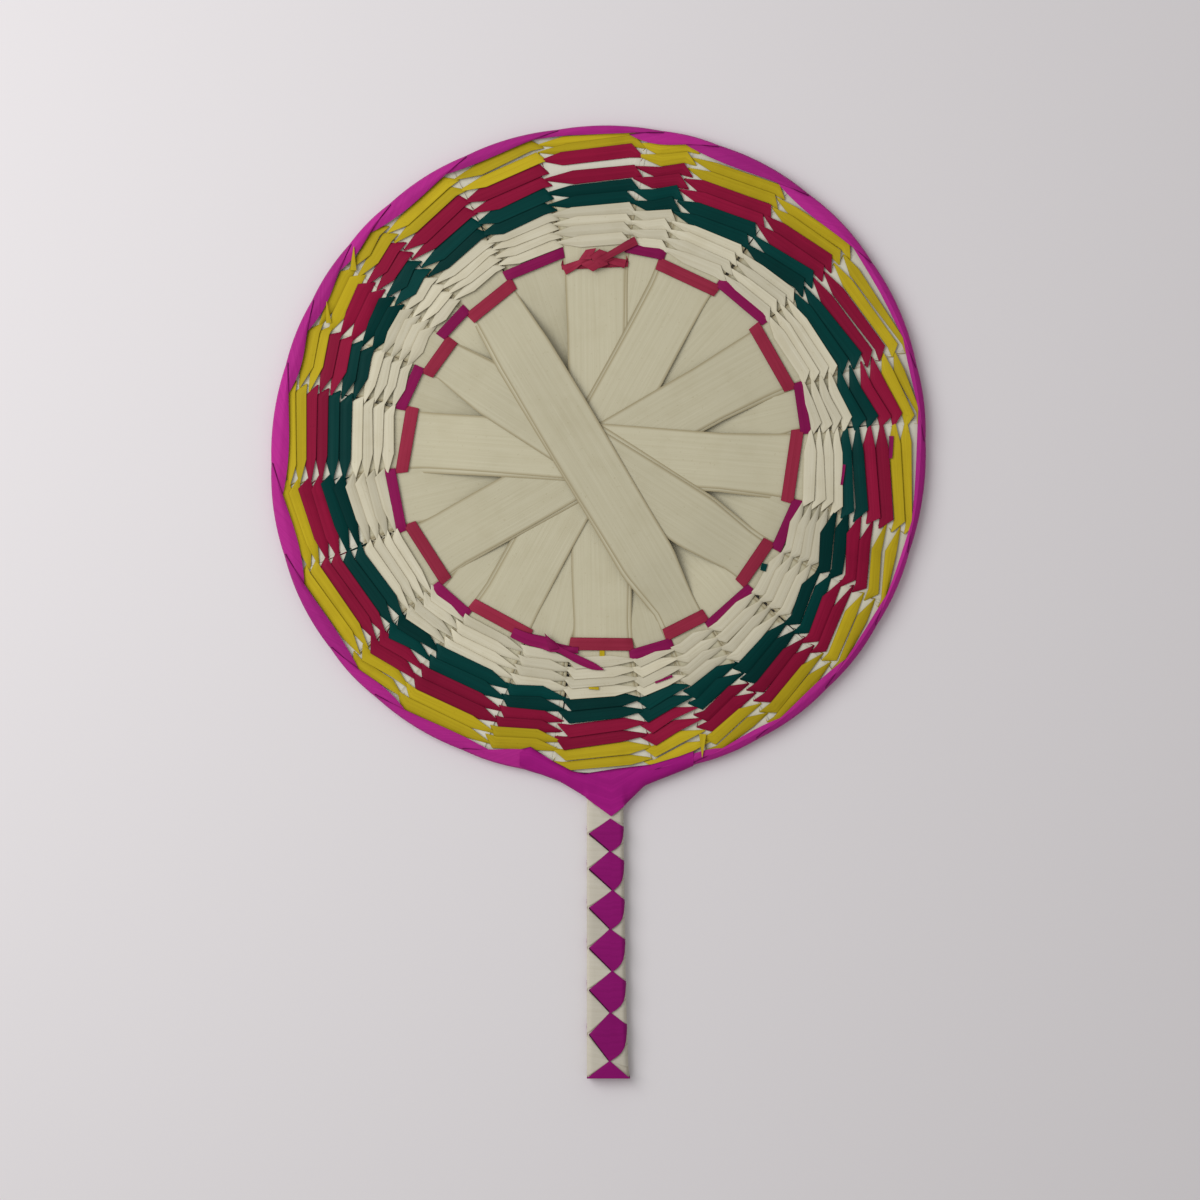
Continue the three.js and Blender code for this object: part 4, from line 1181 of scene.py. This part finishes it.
def select_end_edge(cap, face_side):
    """Selects the edge of the flat end that lies on the front or the back face."""
    bpy.ops.object.mode_set(mode="EDIT")
    bpy.ops.mesh.select_all(action="DESELECT")
    bpy.ops.object.mode_set(mode="OBJECT")
    for edge in cap.data.edges:
        ends = [cap.data.vertices[index].co for index in edge.vertices]
        on_face = all(face_side * (end.z - HUB[2]) > CAP_HALF_DEPTH * ON_FACE_SHARE for end in ends)
        edge.select = on_face and all(end.y < HANDLE_END + AT_END for end in ends)
        if edge.select:
            for index in edge.vertices:
                cap.data.vertices[index].select = True


bpy.ops.object.select_all(action="DESELECT")
end_place = (HANDLE_MIDDLE, HANDLE_END + CAP_FROM_END, HUB[2])
bpy.ops.mesh.primitive_plane_add(size=1, location=end_place, rotation=(math.pi / 2, 0, 0))
cap = bpy.context.object
cap.name = "handle_end_fold"
cap.scale = (2 * HANDLE_HALF, 2 * CAP_HALF_DEPTH, 1)
bpy.ops.object.transform_apply(location=True, rotation=True, scale=True)
for face_side in (1, -1):
    select_end_edge(cap, face_side)
    bpy.ops.object.mode_set(mode="EDIT")
    bpy.ops.mesh.select_mode(type="EDGE")
    bpy.ops.mesh.extrude_region_move(TRANSFORM_OT_translate={"value": (CAP_TIP_X, CAP_FLAP, 0)})
    bpy.ops.mesh.merge(type="CENTER")
    bpy.ops.object.mode_set(mode="OBJECT")
bpy.ops.object.mode_set(mode="EDIT")
bpy.ops.mesh.select_all(action="SELECT")
bpy.ops.mesh.subdivide(number_cuts=CAP_CUTS)
bpy.ops.uv.cube_project(cube_size=1.0)
bpy.ops.object.mode_set(mode="OBJECT")
for layer in ("tone", "edge"):
    paint(cap.data, layer, np.zeros(len(cap.data.vertices)))
thicken(cap, CAP_THICKNESS)
rounded = cap.modifiers.new("folded edges", "BEVEL")
rounded.width = CAP_BEVEL
rounded.segments = CAP_BEVEL_STEPS
bpy.ops.object.modifier_apply(modifier=rounded.name)
bpy.ops.object.shade_smooth_by_angle(angle=SMOOTH_ANGLE)
print("end faces:", dress(cap, "handle_end_cap", "magenta_leaf", "dark_magenta_leaf"))

# %% [markdown]
# Each lashing is tied off in a flat knot. What is seen of it is of two kinds: strips that run in and out,
# and folded facets where the strip turns over itself. A strip is laid along a short list of given points,
# smoothed into a curve, and it rolls a little from side to side. A facet is a puffed patch between four
# corners.

# %% Strips and folds of a knot
KNOT_STEPS = 40
KNOT_ACROSS = 7
KNOT_ROLL = 0.2
KNOT_ROLL_TURN = 9
KNOT_PUFF = 0.35 * MM
FOLD_GRID = 9
LINE_END = 1.0001


def curve_through(points, steps):
    """A smooth line through points: each stretch is a cubic that keeps the direction of its neighbours."""
    points = np.asarray(points, dtype=float)
    padded = np.concatenate([2 * points[:1] - points[1:2], points, 2 * points[-1:] - points[-2:-1]])
    at = np.linspace(0, len(points) - LINE_END, steps)
    index = at.astype(int)
    t = (at - index)[:, None]
    before, here, there, after = (padded[index + shift] for shift in range(4))
    return 0.5 * (2 * here + (there - before) * t + (2 * before - 5 * here + 4 * there - after) * t ** 2
                  + (3 * here - before - 3 * there + after) * t ** 3)


def ribbon(name, path, widths, tone):
    """A flat strip along a path, as wide as it is told, that rolls a little from side to side."""
    across = sideways(path)
    across[:, 2] = KNOT_ROLL * np.sin(np.linspace(0, KNOT_ROLL_TURN, len(path)))
    places = np.linspace(-0.5, 0.5, KNOT_ACROSS)
    points = path[:, None] + across[:, None] * widths[:, None, None] * places[None, :, None]
    return leaf_sheet(name, points, tone)


def facet(name, corners, tone):
    """A folded bit of strip between four corners, a little puffed."""
    u = np.linspace(0, 1, FOLD_GRID)[:, None, None]
    v = np.linspace(0, 1, FOLD_GRID)[None, :, None]
    first, second, third, fourth = corners
    points = first * (1 - u) * (1 - v) + second * u * (1 - v) + third * u * v + fourth * (1 - u) * v
    points[..., 2] += KNOT_PUFF * (np.sin(math.pi * u) * np.sin(math.pi * v))[..., 0]
    return leaf_sheet(name, points, tone)


# %% [markdown]
# The points of a strip are clockwise, outward and up from the knot's middle, and the strip's width there.
# Those of a fold have no width. All are in millimetres, so a knot can be drawn on squared paper first.

# %% Knots
STRIP_TONES = 0.8
FOLD_TONES = 0.9
RED_STRIPS = [
    [(-13.5, -2.9, 1.3, 4.2), (-9, -1.7, 1.7, 3.4), (-5.5, -0.4, 2.1, 2.2), (-2.5, 0.6, 2.2, 2.6)],
    [(13.5, -0.9, 1.3, 3.8), (9, -0.4, 1.7, 3.2), (5, 0.2, 2.1, 2.6), (2, 0.5, 2.2, 2.6)],
    [(1.5, -0.8, 3.1, 2.6), (5, 1.2, 3.0, 2.8), (10, 4.6, 2.5, 3.2), (16.4, 9.6, 2.1, 3.8)],
]
RED_FOLDS = [
    [(-6.4, 0.6, 2.1), (-3.2, 4.5, 2.2), (1.0, 5.0, 2.4), (-1.2, 0.2, 3.1)],
    [(-6.2, -1.2, 2.0), (-1.4, 0.2, 3.1), (3.0, -2.9, 2.6), (-0.6, -4.9, 2.1)],
    [(2.6, 4.4, 2.6), (6.9, 2.9, 2.4), (8.2, 0.4, 2.1), (4.6, -1.2, 2.8)],
    [(-1.8, 1.6, 3.0), (2.4, 4.7, 2.6), (6.2, -2.0, 2.6), (2.0, -3.7, 2.9)],
]
MAGENTA_STRIPS = [
    [(22, -0.6, 1.5, 4.4), (15, -0.6, 1.8, 5.0), (8, -1.2, 2.2, 5.4), (4, -0.6, 2.5, 5.0),
     (0.5, 0.1, 2.6, 2.6), (-3, 1.3, 2.5, 2.8), (-8, 3.1, 2.2, 3.4), (-14, 5.4, 2.1, 3.0),
     (-18.2, 6.9, 2.2, 0.5)],
    [(1.5, 0, 2.1, 2.4), (-3, -0.5, 1.8, 2.4), (-7.5, -0.9, 1.3, 2.8)],
]
MAGENTA_FOLDS = [[(8.6, -5.2, 2.4), (3.8, -2.8, 2.7), (0.8, -0.4, 3.0), (4.4, 1.3, 2.7)]]
KNOTS = [
    ("red", -1.66, 80.6 * MM, RED_STRIPS, RED_FOLDS),
    ("magenta", 191, 87 * MM, MAGENTA_STRIPS, MAGENTA_FOLDS),
]


def knot_sheets(bearing, radius, strips, folds):
    """The sheets of a knot whose middle is at a bearing and a radius."""
    def placed(points):
        points = np.asarray(points) * MM
        return on_disc(bearing + arc_degrees(points[:, 0], radius), radius + points[:, 1], points[:, 2])

    rng = np.random.default_rng(41)
    sheets = []
    for strip in strips:
        line = curve_through(strip, KNOT_STEPS)
        tone = rng.uniform(-STRIP_TONES, STRIP_TONES)
        sheets.append(ribbon("strip", placed(line[:, :3]), line[:, 3] * MM, tone))
    for corners in folds:
        sheets.append(facet("fold", placed(corners), rng.uniform(-FOLD_TONES, FOLD_TONES)))
    return sheets


for colour, bearing, radius, strips, folds in KNOTS:
    slot = f"{colour}_leaf"
    tie = join_sheets(f"{colour}_tie", knot_sheets(bearing, radius, strips, folds))
    print(f"{colour} knot faces:", dress(tie, f"{colour}_knot", slot, RING_FINISHES[slot]))

# %% [markdown]
# The cane hoop and the stick lie inside the wraps, where only a chink may show them. Split cane has fine
# fibres and a hard, slightly glossy skin.

# %% Cane finish
CANE_FIBRES = {"scale": 700, "detail": 4}
CANE_PATCHES = {"scale": 60, "detail": 2}
CANE_PATCH_DEPTH = 0.6
CANE_ROUGHNESS = (0.35, 0.55)
CANE_GROOVE_STRENGTH = 0.3
CANE_GROOVE_DEPTH = 0.1 * MM
CANE_BODY = (178, 146, 92)
CANE_SHADE = (140, 106, 60)
CANE_PALE = (196, 172, 120)


def cane_finish():
    finish, tree, shader, coords = new_finish("cane")
    fibre = spots(tree, coords["Object"], **CANE_FIBRES)
    patch = spots(tree, coords["Object"], **CANE_PATCHES)
    colour = blend(tree, fibre, from_srgb(*CANE_BODY), from_srgb(*CANE_SHADE))
    colour = blend(tree, remap(tree, patch, 0, 1, 0, CANE_PATCH_DEPTH), colour, from_srgb(*CANE_PALE))
    feed(tree, shader.inputs["Base Color"], colour)
    feed(tree, shader.inputs["Roughness"], remap(tree, fibre, 0.3, 0.7, *CANE_ROUGHNESS))
    groove(tree, shader, fibre, CANE_GROOVE_STRENGTH, CANE_GROOVE_DEPTH)
    return finish


FINISHES["cane"] = cane_finish()
print("cane nodes:", len(FINISHES["cane"].node_tree.nodes))

# %% [markdown]
# Both canes are rods with the flat, round-cornered section of the sleeve. A hand-bent hoop follows the rim
# that is wound round it, so its line is the edge of the fan, set in a little, with a tail at either end
# that runs down into the handle. The stick stands between the tails. A rod is a grid that is rolled up,
# with its long sides merged and its ends filled.

# %% Cane
HOOP_INSET = 1.25 * MM
HOOP_HALF = 0.65 * MM
HOOP_STEPS = 145
CANE_HALF_DEPTH = 1.7 * MM
CANE_CORNER = 0.3 * MM
CANE_AROUND = 17
CANE_STEPS = 20
CANE_LOW = HANDLE_END + 1.5 * MM
NECK_BEARINGS = (187.5, 532.5)
TAIL_X = 7.2 * MM
TAIL_TOP = HUB[1] - 143.2 * MM
STICK_HALF = 5.8 * MM
STICK_TOP = sleeve_top - 2 * MM


def cane_rod(name, rings, node):
    """A rod through rings of points."""
    rod = add_grid(name, rings)
    close_seam(fill_ends=True)
    bpy.ops.object.shade_smooth_by_angle(angle=SMOOTH_ANGLE)
    return dress(rod, node, "cane")


tail_y = np.linspace(CANE_LOW, TAIL_TOP, CANE_STEPS)
stick_y = np.linspace(CANE_LOW, STICK_TOP, CANE_STEPS)
left_tail, right_tail = (handle_points(x, tail_y, 0) for x in (-TAIL_X, TAIL_X))
hoop = on_rim(np.linspace(*NECK_BEARINGS, HOOP_STEPS), HOOP_INSET)
line = np.concatenate([left_tail, hoop, right_tail[::-1]])
x, z = flat_ring(HOOP_HALF, CANE_HALF_DEPTH, CANE_CORNER, CANE_AROUND)
rings = line[:, None] + sideways(line)[:, None] * x[None, :, None] + z[None, :, None] * np.array([0, 0, 1])
face_count = cane_rod("cane_hoop", rings, "rim_hoop")
x, z = flat_ring(STICK_HALF, CANE_HALF_DEPTH, CANE_CORNER, CANE_AROUND)
face_count += cane_rod("cane_stick", handle_points(x[None], stick_y[:, None], z[None]), "handle_core")
print("cane faces:", face_count)

# %% [markdown]
# The fan lies on a plain pale table. The floor is a plane large enough that its edge is never seen.

# %% Floor
FLOOR_SIZE = 6
FLOOR_COLOUR = from_srgb(226, 222, 224)
FLOOR_ROUGHNESS = 0.85
bpy.ops.object.select_all(action="DESELECT")
bpy.ops.mesh.primitive_plane_add(size=FLOOR_SIZE, location=(0, 0, 0))
floor = bpy.context.object
floor.name = "floor"
floor_finish = bpy.data.materials.new("floor")
floor_finish.use_nodes = True
floor_shader = floor_finish.node_tree.nodes["Principled BSDF"]
floor_shader.inputs["Base Color"].default_value = FLOOR_COLOUR
floor_shader.inputs["Roughness"].default_value = FLOOR_ROUGHNESS
floor.data.materials.append(floor_finish)

# %% [markdown]
# A large soft lamp from the upper left models the weave with soft shadows to the lower right, and an even
# pale world fills them. The camera looks straight down through a long lens, so that the rim isn't drawn
# out. It stands at the height from which the frame shows FRAME_WIDTH of the plane on top of the fan.

# %% Light and camera
FRAME_WIDTH = 510.6 * MM
LENS = 100
SENSOR = 36
CAMERA_PLACE = (0.2 * MM, -0.25 * MM)
KEY_PLACE = Vector((-0.7, 0.3, 0.88))
KEY_SIZE = 0.9
KEY_POWER = 9.4
WORLD_COLOUR = (1, 0.99, 0.985, 1)
WORLD_STRENGTH = 0.42

key_lamp = bpy.data.lights.new("key", "AREA")
key_lamp.size = KEY_SIZE
key_lamp.energy = KEY_POWER
key = bpy.data.objects.new("key", key_lamp)
key.location = KEY_PLACE
key.rotation_euler = (-KEY_PLACE).to_track_quat("-Z", "Y").to_euler()
bpy.context.scene.collection.objects.link(key)

world = bpy.data.worlds.new("studio")
world.use_nodes = True
world.node_tree.nodes["Background"].inputs["Color"].default_value = WORLD_COLOUR
world.node_tree.nodes["Background"].inputs["Strength"].default_value = WORLD_STRENGTH
bpy.context.scene.world = world

camera_data = bpy.data.cameras.new("camera")
camera_data.lens = LENS
camera_data.sensor_width = SENSOR
camera = bpy.data.objects.new("camera", camera_data)
camera.location = (*CAMERA_PLACE, FRAME_WIDTH * LENS / SENSOR + FAN_THICKNESS)
bpy.context.scene.collection.objects.link(camera)
bpy.context.scene.camera = camera
bpy.context.scene.view_settings.view_transform = "Standard"
